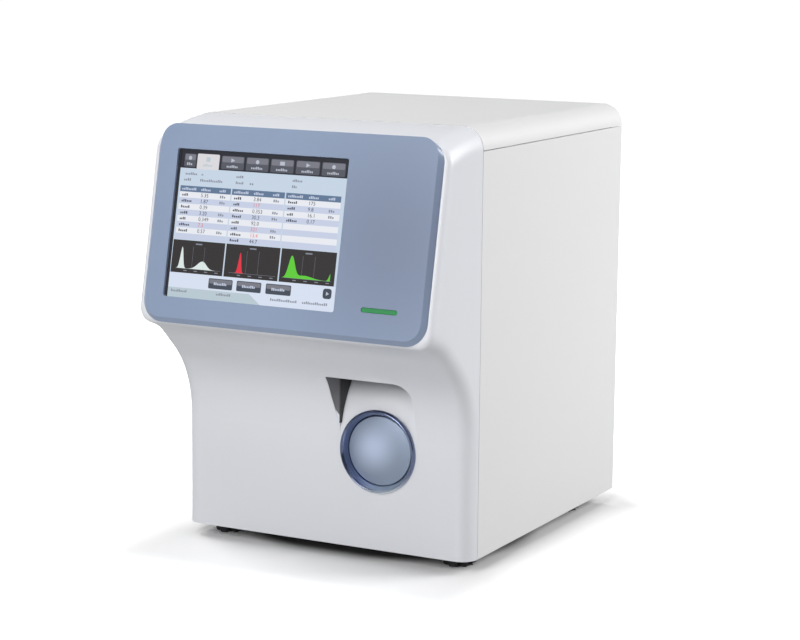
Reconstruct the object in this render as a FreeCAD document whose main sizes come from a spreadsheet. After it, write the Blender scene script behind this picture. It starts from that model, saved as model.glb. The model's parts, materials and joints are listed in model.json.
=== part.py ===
import FreeCAD, Part
import math
import os
import re
import Sketcher
from FreeCAD import Placement, Rotation, Vector

# A bench blood cell counter that tells three kinds of white cell apart.
# Millimetres and degrees. +Z up, the front faces -Y, +X is to the viewer's right.
# The origin is on the ground under the middle of the bounding box.

CASING = dict(
    body_width=300, body_depth=410.8, body_height=400, foot_height=12,
    nose_overhang=82.8,       # display's lower front edge to the lower front face
    seam_setback=15.4,        # lower front face back to the seam behind the front cover
    seam_gap=0.8,             # open joint between neighbouring covers
    cover_wall=3, panel_wall=2.5,
    top_radius=20, front_radius=15, lip_radius=5.7,
    side_seam_drop=21.5,      # top face down to the seam above the side panels
    top_run=74.5,             # length of the top face's front slope
    top_drop=10.5,            # how far that slope falls
    knee_setback=27.4,        # display's lower front edge back to the knee
    knee_drop=15, knee_radius=60,
    waist_drop=52.4, waist_radius=90,
    rear_inset=20, sheet_wall=1.5, overrun=10,
)

DISPLAY = dict(
    bezel_bottom=223.5, bezel_lean=11.63, bezel_head_gap=5.2, bezel_inset=10,
    bezel_depth=4.7, bezel_corner=16, bezel_flare=4.3, bezel_top_draw=1.9,
    nose_lip_drop=5.5,        # display's lower back edge down to the nose's corner
    window_left_margin=18.5, window_right_margin=85.5, window_low=19, window_top_margin=22.4,
    window_corner=2, module_side_lap=14, module_low_lap=5, module_top_lap=4.5,
    module_depth=9, glass_setback=2.6, glass_thickness=1.1, fit_gap=0.3,
    light_inset=23.5, light_length=35.5, light_low=21.4, light_width=4.4,
    light_flange=4, light_flange_depth=1.5, light_set=0.5,
    board_setback=6, board_margin=30, board_thickness=1.6, standoff_radius=3,
)

KEYS = dict(
    key_inset=93.5, key_drop=67.5,
    ring_radius=38.5, ring_tube_radius=36, ring_proud=3.6, ring_depth=14,
    ring_mouth_radius=36.6, ring_throat_radius=33, ring_throat_depth=6.4,
    bore_fit=0.3, key_fit=0.4, key_rim_depth=3.2, key_dome=2.4, key_skirt_depth=12.6,
    key_shell=2.2, key_travel=3, stem_radius=4,
    bridge_tall=24, bridge_lap=6, switch_size=14, switch_depth=12, plunger_fit=0.05,
    switch_plunger_radius=2.5, plunger_reach=9,
)

POCKET = dict(
    pocket_left_reach=39.5, pocket_right_reach=39, pocket_foot_lift=0.5, pocket_rise=14.9,
    pocket_corner=15, pocket_radius=90, pocket_crest=0.6, pocket_wall=2.5,
    pocket_reach=55, pocket_depth=36, pocket_flare=5.5, flare_foot_rise=12, flare_drop=21,
    flare_radius=40, flare_rear=1, slot_half_width=9, slot_length=15,
    liner_thickness=1, liner_front=1, liner_rise=22,
)

CHASSIS = dict(
    base_flange=12, foot_half=12, foot_inset=28, foot_front=22, foot_rear=40,
    bulkhead_left_reach=48.5, bulkhead_right_reach=44.5, bulkhead_fall=45.5, bulkhead_top_gap=13.5,
    bulkhead_margin=12, bulkhead_step=120,
    rail_width=14, rail_height=16, rail_wall=1.5, rail_lap=1.5,
    partition_gap=22, partition_top_gap=54, partition_rear=45,
    screw_radius=3.2, screw_head=2, screw_edge=9,
)

BAY = dict(
    bay_front=50, bay_length=88, bay_foot=20, bay_height=166, bay_depth=60, bay_wall=2,
    door_gap=1.1, pin_radius=0.8, pin_inset=4.6, pin_depth=2, pin_length=10, pin_fit=0.05,
    boss_radius=2, lug_size=6, lug_depth=3, scoop_radius=9,
)

REAR = dict(
    fan_inset=88, fan_height=262, fan_size=80, fan_bore=37.5, fan_thickness=25,
    fan_hub=16, fan_spoke=4,
    rotor_hub=15, rotor_tip=36, rotor_gap=1.5, rotor_skirt=18, blade_count=7, blade_thickness=1.4,
    blade_chord=17, blade_angle=38, blade_root=1.5, shaft_radius=1.5, shaft_fit=0.05,
    guard_lap=3, guard_rim=5, guard_depth=4, slat_thickness=1.6, slat_count=9,
    inlet_inset=50, inlet_height=62, inlet_width=27, inlet_tall=20, inlet_depth=24,
    inlet_cavity_width=24, inlet_cavity_tall=16.6, inlet_cavity_depth=18,
    inlet_flange_width=50, inlet_flange_tall=26, inlet_flange=2,
    contact_length=11, contact_width=4, contact_thickness=2, contact_spread=7,
    contact_rise=2,
    switch_pitch=38, rocker_case_width=21, rocker_case_tall=15, rocker_case_depth=16,
    rocker_rim=2, rocker_width=16, rocker_half=5.1, rocker_rise=3, rocker_pin=1.25,
    rocker_swing=16, rocker_fit=0.05,
    port_inset=42, port_low=60, port_step=34, port_count=3, nut_radius=8, nut_depth=4,
    nipple_radius=3.2, nipple_bore=1.8, nipple_length=15,
    port_tail=10,
    usb_count=4, usb_left=6, usb_gap=5, usb_height=56, usb_width=13.8, usb_tall=6.4, usb_depth=14,
    usb_wall=0.5, usb_step=11, usb_tongue=1.8, usb_drop=10,
    lan_x=12, lan_width=16.6, lan_tall=14, lan_depth=18, lan_wall=1.8,
)

PROBE = dict(
    probe_forward=7.4,        # lower front face forward to the probe's line
    probe_radius=1, probe_bore=0.5, probe_tip_drop=15, probe_head=18,
    rod_offset=23.5, rod_radius=4, rod_front=18, rod_rear=20,
    slide_fit=0.05, block_half_width=8, block_half_length=12,
    plate_thickness=2, plate_rise=34, plate_head_gap=52.5, ear_reach=40, ear_thickness=5,
    arm_drop=27, arm_height=12, arm_half_length=7, arm_gap=0.5,
    guide_offset=10, guide_radius=2.5, lift_offset=8.5, lift_radius=2.5,
    lift_motor_size=28, lift_motor_height=30,
    wipe_half=7, wipe_height=18,
    end_thickness=8, wall_offset=12, wall_thickness=2, wall_margin=4,
    motor_size=42, motor_length=36, motor_boss=11, motor_boss_height=2,
    bath_rear_room=250.8, bath_pitch=40, bath_half=13, bath_bore=10, bath_height=60, bath_floor=6,
    bath_low=90, collar_lap=3, collar_height=3, shelf_rise=14, shelf_thickness=4,
    drain_radius=2.5, drain_length=8,
)

FLUIDS = dict(
    syringe_offset=26, syringe_front=30, syringe_pitch=34, syringe_block_low=214,
    syringe_block_height=16, syringe_block_half=12,
    barrel_half=11, barrel_bore=9, barrel_length=80, piston_fit=0.05, piston_height=8,
    plunger_radius=3, plunger_bar_height=8, plunger_bar_half=9,
    screw_line_radius=4, syringe_motor_size=35, syringe_motor_height=32,
    manifold_low=250, manifold_height=22, manifold_depth=22, manifold_front=20,
    manifold_length=130, valve_count=6, valve_width=16, valve_height=34,
    chamber_gap=10, chamber_rear=46, chamber_radius=24, chamber_height=100,
    pump_inset=32, pump_rear=34, pump_pitch=46, pump_radius=13, pump_length=44, pump_head=20,
    pump_foot=4,
)

POWER = dict(
    supply_inset=8, supply_width=80, supply_front_gap=9.6, supply_height=42, supply_gap=4,
    supply_back=32,
    main_front=30, main_rear=24.6, main_top_gap=23.5, board_tall=130, main_thickness=1.6,
    board_standoff=8, standoff_inset=10, chip_height=3,
)

# Shares of another size, for small roundings and tapers.
SHARES = dict(
    slot_end_share=0.49, core_cut_share=0.58, lid_edge_share=0.4, side_edge_share=0.6,
    motor_corner_share=0.125, foot_corner_share=0.58, inlet_corner_share=0.25, crown_share=0.8,
    block_low_share=0.165, rod_low_share=0.25, rod_high_share=0.68, block_high_share=0.765,
)

SIZES = {**SHARES, **CASING, **DISPLAY, **KEYS, **POCKET, **CHASSIS, **BAY, **REAR, **PROBE,
         **FLUIDS, **POWER}

# Planes that many pieces share, as expressions in the sheet's names.
HALF = "body_width / 2"
INSIDE = "(body_width / 2 - panel_wall)"
FRONT = "(nose_overhang - body_depth / 2)"
SEAM = "(nose_overhang + seam_setback - body_depth / 2)"
BEHIND_SEAM = "(nose_overhang + seam_setback + seam_gap - body_depth / 2)"
BULKHEAD = "(nose_overhang + seam_setback + sheet_wall - body_depth / 2)"
BACK = "body_depth / 2"
REAR_FACE = "(body_depth / 2 - rear_inset)"
REAR_INNER = "(body_depth / 2 - rear_inset - sheet_wall)"
FLOOR = "(foot_height + sheet_wall)"
ROOF = "(body_height - panel_wall)"
SIDE_SEAM = "(body_height - side_seam_drop)"
PROBE_Y = "(nose_overhang - probe_forward - body_depth / 2)"
BAY_REAR = f"({BULKHEAD} + bay_front + bay_length)"
LIFT_X = "(key_x + lift_offset)"
GUIDE_X = "(key_x - guide_offset)"
SCREW_Z = "(rod_low + rod_high) / 2"
PLATE_X = "(rod_x - block_half_width - plate_thickness)"

# Sizes and places that follow others, as expressions in their names.
PLACES = dict(
    bezel_width="body_width - 2 * bezel_inset",
    bezel_height="(body_height - bezel_head_gap - bezel_bottom) / cos(bezel_lean)",
    window_left="bezel_width / 2 - window_left_margin",
    window_right="bezel_width / 2 - window_right_margin",
    window_high="bezel_height - window_top_margin",
    module_left="window_left + module_side_lap", module_right="window_right + module_side_lap",
    module_low="window_low - module_low_lap", module_high="window_high + module_top_lap",
    light_right="bezel_width / 2 - light_inset", light_left="light_right - light_length",
    light_high="light_low + light_width",
    knee_reach="nose_overhang - knee_setback", knee_height="bezel_bottom - knee_drop",
    waist_height="knee_height - waist_drop",
    key_x="body_width / 2 - key_inset", key_height="pocket_top - key_drop",
    pocket_left="key_x - pocket_left_reach", pocket_right="key_x + pocket_right_reach",
    pocket_top="waist_height + pocket_rise", pocket_foot="key_height + pocket_foot_lift",
    flare_low="pocket_foot + flare_foot_rise", flare_high="pocket_top - flare_drop",
    liner_foot="pocket_foot + liner_rise",
    bulkhead_left="key_x - bulkhead_left_reach", bulkhead_right="key_x + bulkhead_right_reach",
    bulkhead_low="key_height - bulkhead_fall", bulkhead_high=f"{ROOF} - bulkhead_top_gap",
    partition_x="supply_right - partition_gap", partition_top=f"{ROOF} - partition_top_gap",
    supply_left=f"{HALF} - supply_inset", supply_right="supply_left - supply_width",
    board_high="partition_top - main_top_gap", board_low="board_high - board_tall",
    fan_x=f"{HALF} - fan_inset", inlet_x=f"{HALF} - inlet_inset", switch_x="inlet_x - switch_pitch",
    port_x=f"{HALF} - port_inset", pump_x=f"{HALF} - pump_inset",
    chamber_x="pump_x - pump_length - chamber_gap - chamber_radius",
    plate_low="pocket_top + plate_rise", plate_high=f"{ROOF} - plate_head_gap",
    plate_tall="plate_high - plate_low",
    block_low="plate_low + plate_tall * block_low_share",
    block_high="plate_low + plate_tall * block_high_share",
    rod_low="plate_low + plate_tall * rod_low_share",
    rod_high="plate_low + plate_tall * rod_high_share",
    arm_low="plate_high - arm_drop", probe_tip_height="plate_low - probe_tip_drop",
    probe_top_height="arm_low + probe_head",
    rod_x="key_x + rod_offset", wall_x="rod_x + wall_offset", wall_low="block_low - wall_margin",
    wall_high="block_high + wall_margin", syringe_x="wall_x + syringe_offset",
    bath_first="body_depth - rear_inset - bath_rear_room", bath_shelf="bath_low + shelf_rise",
    carriage_travel="bath_first + bath_pitch",
)

X_WAY, Y_WAY, Z_WAY = Vector(1, 0, 0), Vector(0, 1, 0), Vector(0, 0, 1)

# Main board's large chips: place along it, place up it, and side, as shares of its size.
CHIP_SHARES = ((0.15, 0.3, 0.22), (0.42, 0.55, 0.14), (0.62, 0.2, 0.18), (0.8, 0.6, 0.12))

doc = FreeCAD.newDocument("BloodCellCounter")
sheet = doc.addObject("Spreadsheet::Sheet", "Dims")
nodes = []


def fill_sheet():
    """Write every driving size into the sheet, one row each, with its alias."""
    for row, (alias, value) in enumerate(SIZES.items(), 1):
        sheet.set(f"A{row}", alias)
        sheet.set(f"B{row}", str(value))
        sheet.setAlias(f"B{row}", alias)
    doc.recompute()


def named(text):
    """An expression with its places written out and the sheet's name before each alias."""
    def spell(match):
        word = match.group(0)
        if word in PLACES:
            return "(" + named(PLACES[word]) + ")"
        return "Dims." + word if word in SIZES else word
    return re.sub(r"[a-z_]+", spell, str(text))


def val(text):
    """The number that an expression has now."""
    found = sheet.evalExpression(named(text))
    return float(getattr(found, "Value", found))


def bind(item, **rules):
    """Bind properties of an item to expressions."""
    for prop, text in rules.items():
        item.setExpression(prop, named(text))


def place(item, x, y, z, axis=None, angle="0"):
    """Put an item's own origin at a bound point, turned about one axis."""
    if axis is not None:
        item.Placement = Placement(Vector(0, 0, 0), Rotation(axis, 1))
        item.setExpression("Placement.Rotation.Angle", named(angle))
    for letter, text in (("x", x), ("y", y), ("z", z)):
        item.setExpression("Placement.Base." + letter, named(text))
    return item


def node(item, label):
    """Name a finished sub-part and remember it for the export."""
    item.Label = label
    nodes.append(item)
    return item


ALONG = {"x": (Vector(0, 1, 0), "90"), "y": (Vector(1, 0, 0), "-90"), "z": (None, "0"),
         "front": (Vector(1, 0, 0), "90"), "down": (Vector(1, 0, 0), "180")}


def block(name, x_from, x_to, y_from, y_to, z_from, z_to):
    """A box between six bound planes."""
    item = doc.addObject("Part::Box", name)
    bind(item, Length=f"({x_to}) - ({x_from})", Width=f"({y_to}) - ({y_from})",
         Height=f"({z_to}) - ({z_from})")
    return place(item, x_from, y_from, z_from)


def rod(name, x, y, z, radius, length, along="z"):
    """A cylinder from a bound point along one direction."""
    item = doc.addObject("Part::Cylinder", name)
    bind(item, Radius=radius, Height=length)
    axis, angle = ALONG[along]
    return place(item, x, y, z, axis, angle)


def hexagon(name, x, y, z, radius, length, along="z"):
    """A six-sided prism from a bound point along one direction."""
    item = doc.addObject("Part::Prism", name)
    item.Polygon = 6
    bind(item, Circumradius=radius, Height=length)
    axis, angle = ALONG[along]
    return place(item, x, y, z, axis, angle)


def joined(name, *items):
    """One solid from pieces that touch or overlap."""
    item = doc.addObject("Part::MultiFuse", name)
    item.Shapes = list(items)
    item.Refine = True
    return item


def cut(name, base, *tools):
    """A base with tools taken out of it."""
    item = doc.addObject("Part::Cut", name)
    item.Base = base
    item.Tool = tools[0] if len(tools) == 1 else joined(name + "_tools", *tools)
    return item


def shared(name, first, second):
    """What two solids have in common."""
    item = doc.addObject("Part::Common", name)
    item.Base = first
    item.Tool = second
    return item


def group(name, items):
    """Separate solids kept together."""
    item = doc.addObject("Part::Compound", name)
    item.Links = list(items)
    return item


def new_sketch(body, name, role):
    """A sketch on one of the body's own origin planes."""
    sketch = body.newObject("Sketcher::SketchObject", name)
    plane = [o for o in body.Origin.OriginFeatures if o.Role == role][0]
    sketch.AttachmentSupport = [(plane, "")]
    sketch.MapMode = "FlatFace"
    return sketch


def hold(sketch, shape, point, across, up):
    """Bind one point of a sketch to its two distances from the origin."""
    for kind, axis, text in (("DistanceX", -2, across), ("DistanceY", -1, up)):
        if abs(val(text)) < 1e-9:
            sketch.addConstraint(Sketcher.Constraint("PointOnObject", shape, point, axis))
            continue
        rule = Sketcher.Constraint(kind, -1, 1, shape, point, val(text))
        number = sketch.addConstraint(rule)
        sketch.setExpression(f"Constraints[{number}]", named(text))


def arc_side(start, stop, radius, way):
    """The arc between two points whose centre is left (1) or right (-1) of the travel."""
    chord = stop - start
    across = Vector(-chord.y, chord.x, 0).normalize()
    rise = (radius * radius - chord.Length * chord.Length / 4) ** 0.5
    circle = Part.Circle((start + stop) * 0.5 + across * (rise * way), Vector(0, 0, 1), radius)
    first, last = (start, stop) if way > 0 else (stop, start)
    return Part.ArcOfCircle(circle, circle.parameter(first), circle.parameter(last))


def draw_outline(sketch, points, arcs=None):
    """A closed outline through bound points; arcs gives a side's radius and its centre's side."""
    arcs = arcs or {}
    first, count = sketch.GeometryCount, len(points)
    spots = [Vector(val(a), val(b), 0) for a, b in points]
    ends = []
    for i in range(count):
        start, stop = spots[i], spots[(i + 1) % count]
        if i in arcs:
            radius, way = arcs[i]
            sketch.addGeometry(arc_side(start, stop, val(radius), way), False)
            rule = Sketcher.Constraint("Radius", first + i, val(radius))
            number = sketch.addConstraint(rule)
            sketch.setExpression(f"Constraints[{number}]", named(radius))
            ends.append((1, 2) if way > 0 else (2, 1))
        else:
            sketch.addGeometry(Part.LineSegment(start, stop), False)
            ends.append((1, 2))
    for i in range(count):
        after = (i + 1) % count
        rule = ("Coincident", first + i, ends[i][1], first + after, ends[after][0])
        sketch.addConstraint(Sketcher.Constraint(*rule))
    for i, (a, b) in enumerate(points):
        hold(sketch, first + i, ends[i][0], a, b)


def draw_box(sketch, left, right, low, high):
    """A rectangle with square corners."""
    draw_outline(sketch, [(left, low), (right, low), (right, high), (left, high)])


def draw_circle(sketch, across, up, radius):
    """A circle with a bound centre and radius."""
    circle = Part.Circle(Vector(val(across), val(up), 0), Vector(0, 0, 1), val(radius))
    number = sketch.addGeometry(circle, False)
    hold(sketch, number, 3, across, up)
    rule = sketch.addConstraint(Sketcher.Constraint("Radius", number, val(radius)))
    sketch.setExpression(f"Constraints[{rule}]", named(radius))


def draw_rounded(sketch, left, right, low, high, radius):
    """A rectangle whose corners are quarter arcs of one bound radius."""
    a, b, c, d, r = (val(s) for s in (left, right, low, high, radius))
    quarter = math.pi / 2
    first = sketch.GeometryCount
    corners = [(b - r, c + r, 3), (b - r, d - r, 0), (a + r, d - r, 1), (a + r, c + r, 2)]
    sides = [((a + r, c), (b - r, c)), ((b, c + r), (b, d - r)),
             ((b - r, d), (a + r, d)), ((a, d - r), (a, c + r))]
    for (start, end), (x, y, turn) in zip(sides, corners):
        sketch.addGeometry(Part.LineSegment(Vector(*start, 0), Vector(*end, 0)), False)
        circle = Part.Circle(Vector(x, y, 0), Vector(0, 0, 1), r)
        arc = Part.ArcOfCircle(circle, turn * quarter, (turn + 1) * quarter)
        sketch.addGeometry(arc, False)
    for i in range(4):
        line, arc, after = first + 2 * i, first + 2 * i + 1, first + (2 * i + 2) % 8
        sketch.addConstraint(Sketcher.Constraint("Tangent", line, 2, arc, 1))
        sketch.addConstraint(Sketcher.Constraint("Tangent", arc, 2, after, 1))
        kind = "Horizontal" if i % 2 == 0 else "Vertical"
        sketch.addConstraint(Sketcher.Constraint(kind, line))
        if i:
            sketch.addConstraint(Sketcher.Constraint("Equal", first + 1, arc))
    rule = sketch.addConstraint(Sketcher.Constraint("Radius", first + 1, r))
    sketch.setExpression(f"Constraints[{rule}]", named(radius))
    for i, kind, text in ((0, "DistanceY", low), (2, "DistanceX", right),
                          (4, "DistanceY", high), (6, "DistanceX", left)):
        rule = Sketcher.Constraint(kind, -1, 1, first + i, 1, val(text))
        number = sketch.addConstraint(rule)
        sketch.setExpression(f"Constraints[{number}]", named(text))


def pad(body, sketch, length, both=False, back=False):
    """Extrude a sketch, from its plane or to both sides of it."""
    item = body.newObject("PartDesign::Pad", body.Name + "_pad")
    item.Profile = sketch
    item.Midplane = both
    item.Reversed = back
    bind(item, Length=length)
    doc.recompute()
    return item


def pocket(body, sketch, depth, back=False, both=False):
    """Cut a sketch's outline into the body."""
    before = body.Shape.Volume
    item = body.newObject("PartDesign::Pocket", body.Name + "_pocket")
    item.Profile = sketch
    item.Midplane = both
    item.Reversed = back
    bind(item, Length=depth)
    doc.recompute()
    if body.Shape.Volume >= before:
        raise ValueError(f"{item.Name} cuts nothing")
    return item


def middle(edge):
    """The point halfway along an edge."""
    return edge.valueAt((edge.FirstParameter + edge.LastParameter) / 2)


def runs(edge, direction):
    """Whether a straight edge runs along a direction."""
    along = edge.tangentAt(edge.FirstParameter)
    return edge.Curve.TypeId == "Part::GeomLine" and abs(abs(along.dot(direction)) - 1) < 1e-6


def dress(body, kind, pick, **size):
    """Put a fillet or a chamfer of one bound size on the edges that a test picks."""
    base = body.Tip
    names = [f"Edge{i + 1}" for i, edge in enumerate(base.Shape.Edges) if pick(edge)]
    item = body.newObject("PartDesign::" + kind, body.Name + "_" + kind.lower())
    item.Base = (base, names)
    bind(item, **size)
    doc.recompute()
    return item


def fillet(body, radius, pick):
    """Round the edges that a test picks."""
    return dress(body, "Fillet", pick, Radius=radius)


def chamfer(body, size, pick):
    """Cut off the edges that a test picks."""
    return dress(body, "Chamfer", pick, Size=size)


def turned(name, points, x, y, z, along="z"):
    """A body of revolution: points are (radius, height along the axis)."""
    body = doc.addObject("PartDesign::Body", name)
    sketch = new_sketch(body, name + "_profile", "XZ_Plane")
    draw_outline(sketch, points)
    item = body.newObject("PartDesign::Revolution", name + "_turn")
    item.Profile = sketch
    item.ReferenceAxis = (sketch, ["V_Axis"])
    item.Angle = 360
    axis, angle = ALONG[along]
    place(body, x, y, z, axis, angle)
    doc.recompute()
    return body


def eight_sided(name, x_from, x_to, y_from, y_to, z_from, z_to, corner):
    """A box whose four upright edges are cut off, as on a square motor's case."""
    body = doc.addObject("PartDesign::Body", name)
    sketch = new_sketch(body, name + "_plan", "XY_Plane")
    near_x, far_x = f"{x_from} + {corner}", f"{x_to} - {corner}"
    near_y, far_y = f"{y_from} + {corner}", f"{y_to} - {corner}"
    draw_outline(sketch, [(near_x, y_from), (far_x, y_from), (x_to, near_y), (x_to, far_y),
                          (far_x, y_to), (near_x, y_to), (x_from, far_y), (x_from, near_y)])
    pad(body, sketch, f"({z_to}) - ({z_from})")
    return place(body, "0", "0", z_from)


def upright_plate(name, outlines, y_back, thickness, corner=None, high=None):
    """A sheet in an X-Z plane, with its holes, from its back face forward."""
    body = doc.addObject("PartDesign::Body", name)
    sketch = new_sketch(body, name + "_face", "XZ_Plane")
    for kind, *sizes in outlines:
        kind(sketch, *sizes)
    pad(body, sketch, thickness)
    if corner:
        top = val(high)
        fillet(body, corner, lambda e: runs(e, Y_WAY) and abs(middle(e).z - top) < 1e-3)
    return place(body, "0", y_back, "0")


def rounded_plate(name, left, right, low, high, y_back, thickness, radius):
    """A plate in an X-Z plane with round corners, from its back face forward."""
    body = doc.addObject("PartDesign::Body", name)
    sketch = new_sketch(body, name + "_face", "XZ_Plane")
    draw_rounded(sketch, left, right, low, high, radius)
    pad(body, sketch, thickness)
    return place(body, "0", y_back, "0")


def lean_y(up, depth):
    """Y of a point given up the display's slope and behind its face."""
    return f"(({up}) * sin(bezel_lean) + ({depth}) * cos(bezel_lean) - body_depth / 2)"


def lean_z(up, depth):
    """Z of a point given up the display's slope and behind its face."""
    return f"(bezel_bottom + ({up}) * cos(bezel_lean) - ({depth}) * sin(bezel_lean))"


def lean(item, x, up, depth):
    """Place an item on the display's leaning plane: its own Z points out of the face."""
    return place(item, x, lean_y(up, depth), lean_z(up, depth), X_WAY, "90 - bezel_lean")


def leaning_block(name, left, right, low, high, front, back):
    """A box parallel to the display's face, between two depths behind it."""
    item = doc.addObject("Part::Box", name)
    bind(item, Length=f"({right}) - ({left})", Width=f"({high}) - ({low})",
         Height=f"({back}) - ({front})")
    return lean(item, left, low, back)


def nose_solid(name, rounded=True):
    """The front cover's form: an S-curved side profile, its edges rounded or plainly cut off."""
    body = doc.addObject("PartDesign::Body", name)
    sketch = new_sketch(body, name + "_side", "YZ_Plane")
    low = (lean_y("-nose_lip_drop", "bezel_depth"), lean_z("-nose_lip_drop", "bezel_depth"))
    brow_z = "(body_height - top_drop)"
    rise = f"(({brow_z} - {lean_z('0', 'bezel_depth')}) / cos(bezel_lean))"
    brow = (lean_y(rise, "bezel_depth"), brow_z)
    bend = "((top_run * top_run + top_drop * top_drop) / (2 * top_drop))"
    flat = f"({brow[0]} + top_run - {SEAM})"
    crown = (SEAM, f"(body_height - {bend} + sqrt({bend} * {bend} - {flat} * {flat}))")
    knee = (f"({FRONT} - knee_reach)", "knee_height")
    waist = (FRONT, "waist_height")
    points = [crown, (SEAM, "foot_height"), (FRONT, "foot_height"), waist, knee, low, brow]
    spots = [Vector(val(a), val(b), 0) for a, b in points]
    draw_outline(sketch, points, {len(points) - 1: (bend, -1)})
    pad(body, sketch, "body_width", both=True)

    half, seam = val(HALF), val(SEAM)
    lip, slope = spots[5], spots[6] - spots[5]
    out = Vector(0, slope.y, -slope.x).normalize()
    near = 1e-3

    def at(spot):
        return lambda e: runs(e, X_WAY) and (middle(e) - Vector(0, spot.x, spot.y)).Length < near

    def flank(edge):
        m = middle(edge)
        return abs(abs(m.x) - half) < near and abs(m.y - seam) > near

    def on_face(edge):
        spots_on = [v.Point for v in edge.Vertexes] + [middle(edge)]
        return all(abs((p - Vector(0, lip.x, lip.y)).dot(out)) < near for p in spots_on)

    def below(edge):
        return flank(edge) and foot + near < middle(edge).z < lip.y and not on_face(edge)

    def above(edge):
        return flank(edge) and middle(edge).z > brow_level + near

    foot, brow_level = val("foot_height"), val(brow_z)
    fillet(body, "waist_radius", at(spots[3]))
    fillet(body, "knee_radius", at(spots[4]))
    if rounded:
        fillet(body, "front_radius", below)
        fillet(body, "top_radius", above)
        fillet(body, "lip_radius", on_face)
    else:
        chamfer(body, "front_radius * core_cut_share", below)
        chamfer(body, "top_radius * core_cut_share", above)
    return body


def well(name, wall, flare, front, back):
    """The pocket's outline pushed back: square foot, one round top corner, left side flared."""
    body = doc.addObject("PartDesign::Body", name)
    sketch = new_sketch(body, name + "_front", "XZ_Plane")
    left, right, top = f"pocket_left - {wall}", f"pocket_right + {wall}", f"pocket_top + {wall}"
    points = [(left, "pocket_foot"), (right, "pocket_foot"), (right, top)]
    if flare == "0":
        points += [(left, top)]
    else:
        points += [(f"{left} - {flare}", top), (f"{left} - {flare}", "flare_high"),
                   (left, "flare_low")]
    draw_outline(sketch, points)
    pad(body, sketch, f"{back} - {front}")
    corner = Vector(val(right), 0, val(top))
    knees = [Vector(val(x), 0, val(z)) for x, z in points[4:]]

    def at(edge, spot):
        m = middle(edge)
        return runs(edge, Y_WAY) and math.hypot(m.x - spot.x, m.z - spot.z) < 1e-3

    fillet(body, f"pocket_corner + {wall}", lambda e: at(e, corner))
    if knees:
        fillet(body, "flare_radius", lambda e: any(at(e, knee) for knee in knees))
    return place(body, "0", back, "0")


def pocket_drum(name, wall):
    """The cylinder whose side is the pocket's bulging back wall."""
    return rod(name, f"-{HALF}", f"({FRONT} - pocket_crest + pocket_radius)", "pocket_foot",
               f"pocket_radius - {wall}", "body_width", "x")


def front_cover():
    """Moulded shell over the nose, with the sampling pocket sunk into its face."""
    core_skin = nose_solid("cover_core_skin", rounded=False)
    seam = val(SEAM)
    faces = [f"Face{i + 1}" for i, face in enumerate(core_skin.Shape.Faces)
             if abs(face.CenterOfMass.y - seam) < 1e-3]
    base = core_skin.Tip
    skin = core_skin.newObject("PartDesign::Thickness", "core_shell")
    skin.Base = (base, faces)
    skin.Reversed = True
    bind(skin, Value="cover_wall")
    doc.recompute()
    room = cut("cover_room", nose_solid("cover_core", rounded=False), core_skin)
    shell = cut("cover_shell", nose_solid("cover_form"), room)
    reach, back = f"({FRONT} - pocket_reach)", f"({FRONT} + pocket_depth)"
    tub = cut("tub_hollowed", well("tub_form", "pocket_wall", "pocket_flare", reach,
                                   f"{back} + pocket_wall"), pocket_drum("tub_drum", "pocket_wall"))
    behind = block("tub_rear", "pocket_left - overrun", "pocket_right + overrun", SEAM,
                   f"{back} + pocket_wall", "pocket_foot", "pocket_top + pocket_wall")
    tub = shared("tub", tub, joined("tub_limit", nose_solid("tub_nose"), behind))
    air = cut("pocket_air", well("pocket", "0", "0", reach, back), pocket_drum("air_drum", "0"))
    flare = well("pocket_flared", "0", "pocket_flare", reach, f"{FRONT} - flare_rear")
    bore = rod("key_bore", "key_x", f"{FRONT} - overrun", "key_height",
               "ring_tube_radius + bore_fit", "2 * overrun + ring_depth", "y")
    slot = block("probe_slot", "key_x - slot_half_width", "key_x + slot_half_width",
                 f"{PROBE_Y} - slot_length / 2", f"{PROBE_Y} + slot_length / 2",
                 "pocket_top - overrun", "pocket_top + overrun")
    window = leaning_block("module_window", "-module_left - fit_gap", "module_right + fit_gap",
                           "module_low - fit_gap", "module_high + fit_gap",
                           "0", "bezel_depth + cover_wall + overrun")
    light = leaning_block("light_window", "light_left - light_flange", "light_right + light_flange",
                          "light_low - light_flange", "light_high + light_flange",
                          "0", "bezel_depth + cover_wall + overrun")
    walls = joined("cover_walls", shell, tub)
    return node(cut("cover_cut", walls, air, flare, bore, slot, window, light), "front_cover")


def display_bezel():
    """Lofted frame round the screen: its edge band flares down and sideways."""
    body = doc.addObject("PartDesign::Body", "bezel_form")
    front = new_sketch(body, "bezel_front", "XY_Plane")
    half = "bezel_width / 2"
    draw_rounded(front, f"-{half}", half, "0", "bezel_height", "bezel_corner")
    rear = new_sketch(body, "bezel_rear", "XY_Plane")
    rear.setExpression("AttachmentOffset.Base.z", named("-bezel_depth"))
    draw_rounded(rear, f"-{half} - bezel_flare", f"{half} + bezel_flare", "-bezel_flare",
                 "bezel_height - bezel_top_draw", "bezel_corner + bezel_flare")
    doc.recompute()
    loft = body.newObject("PartDesign::AdditiveLoft", "bezel_band")
    loft.Profile = front
    loft.Sections = [rear]
    doc.recompute()
    window = new_sketch(body, "bezel_window", "XY_Plane")
    draw_rounded(window, "-window_left", "window_right", "window_low", "window_high",
                 "window_corner")
    draw_rounded(window, "light_left", "light_right", "light_low", "light_high",
                 "(light_high - light_low) * slot_end_share")
    pocket(body, window, "bezel_depth + overrun")
    rebate = new_sketch(body, "module_rebate", "XY_Plane")
    rebate.setExpression("AttachmentOffset.Base.z", named("-bezel_depth"))
    draw_box(rebate, "-module_left - fit_gap", "module_right + fit_gap",
             "module_low - fit_gap", "module_high + fit_gap")
    pocket(body, rebate, "bezel_depth - glass_setback", back=True)
    lean(body, "0", "0", "0")
    return node(body, "display_bezel")


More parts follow.
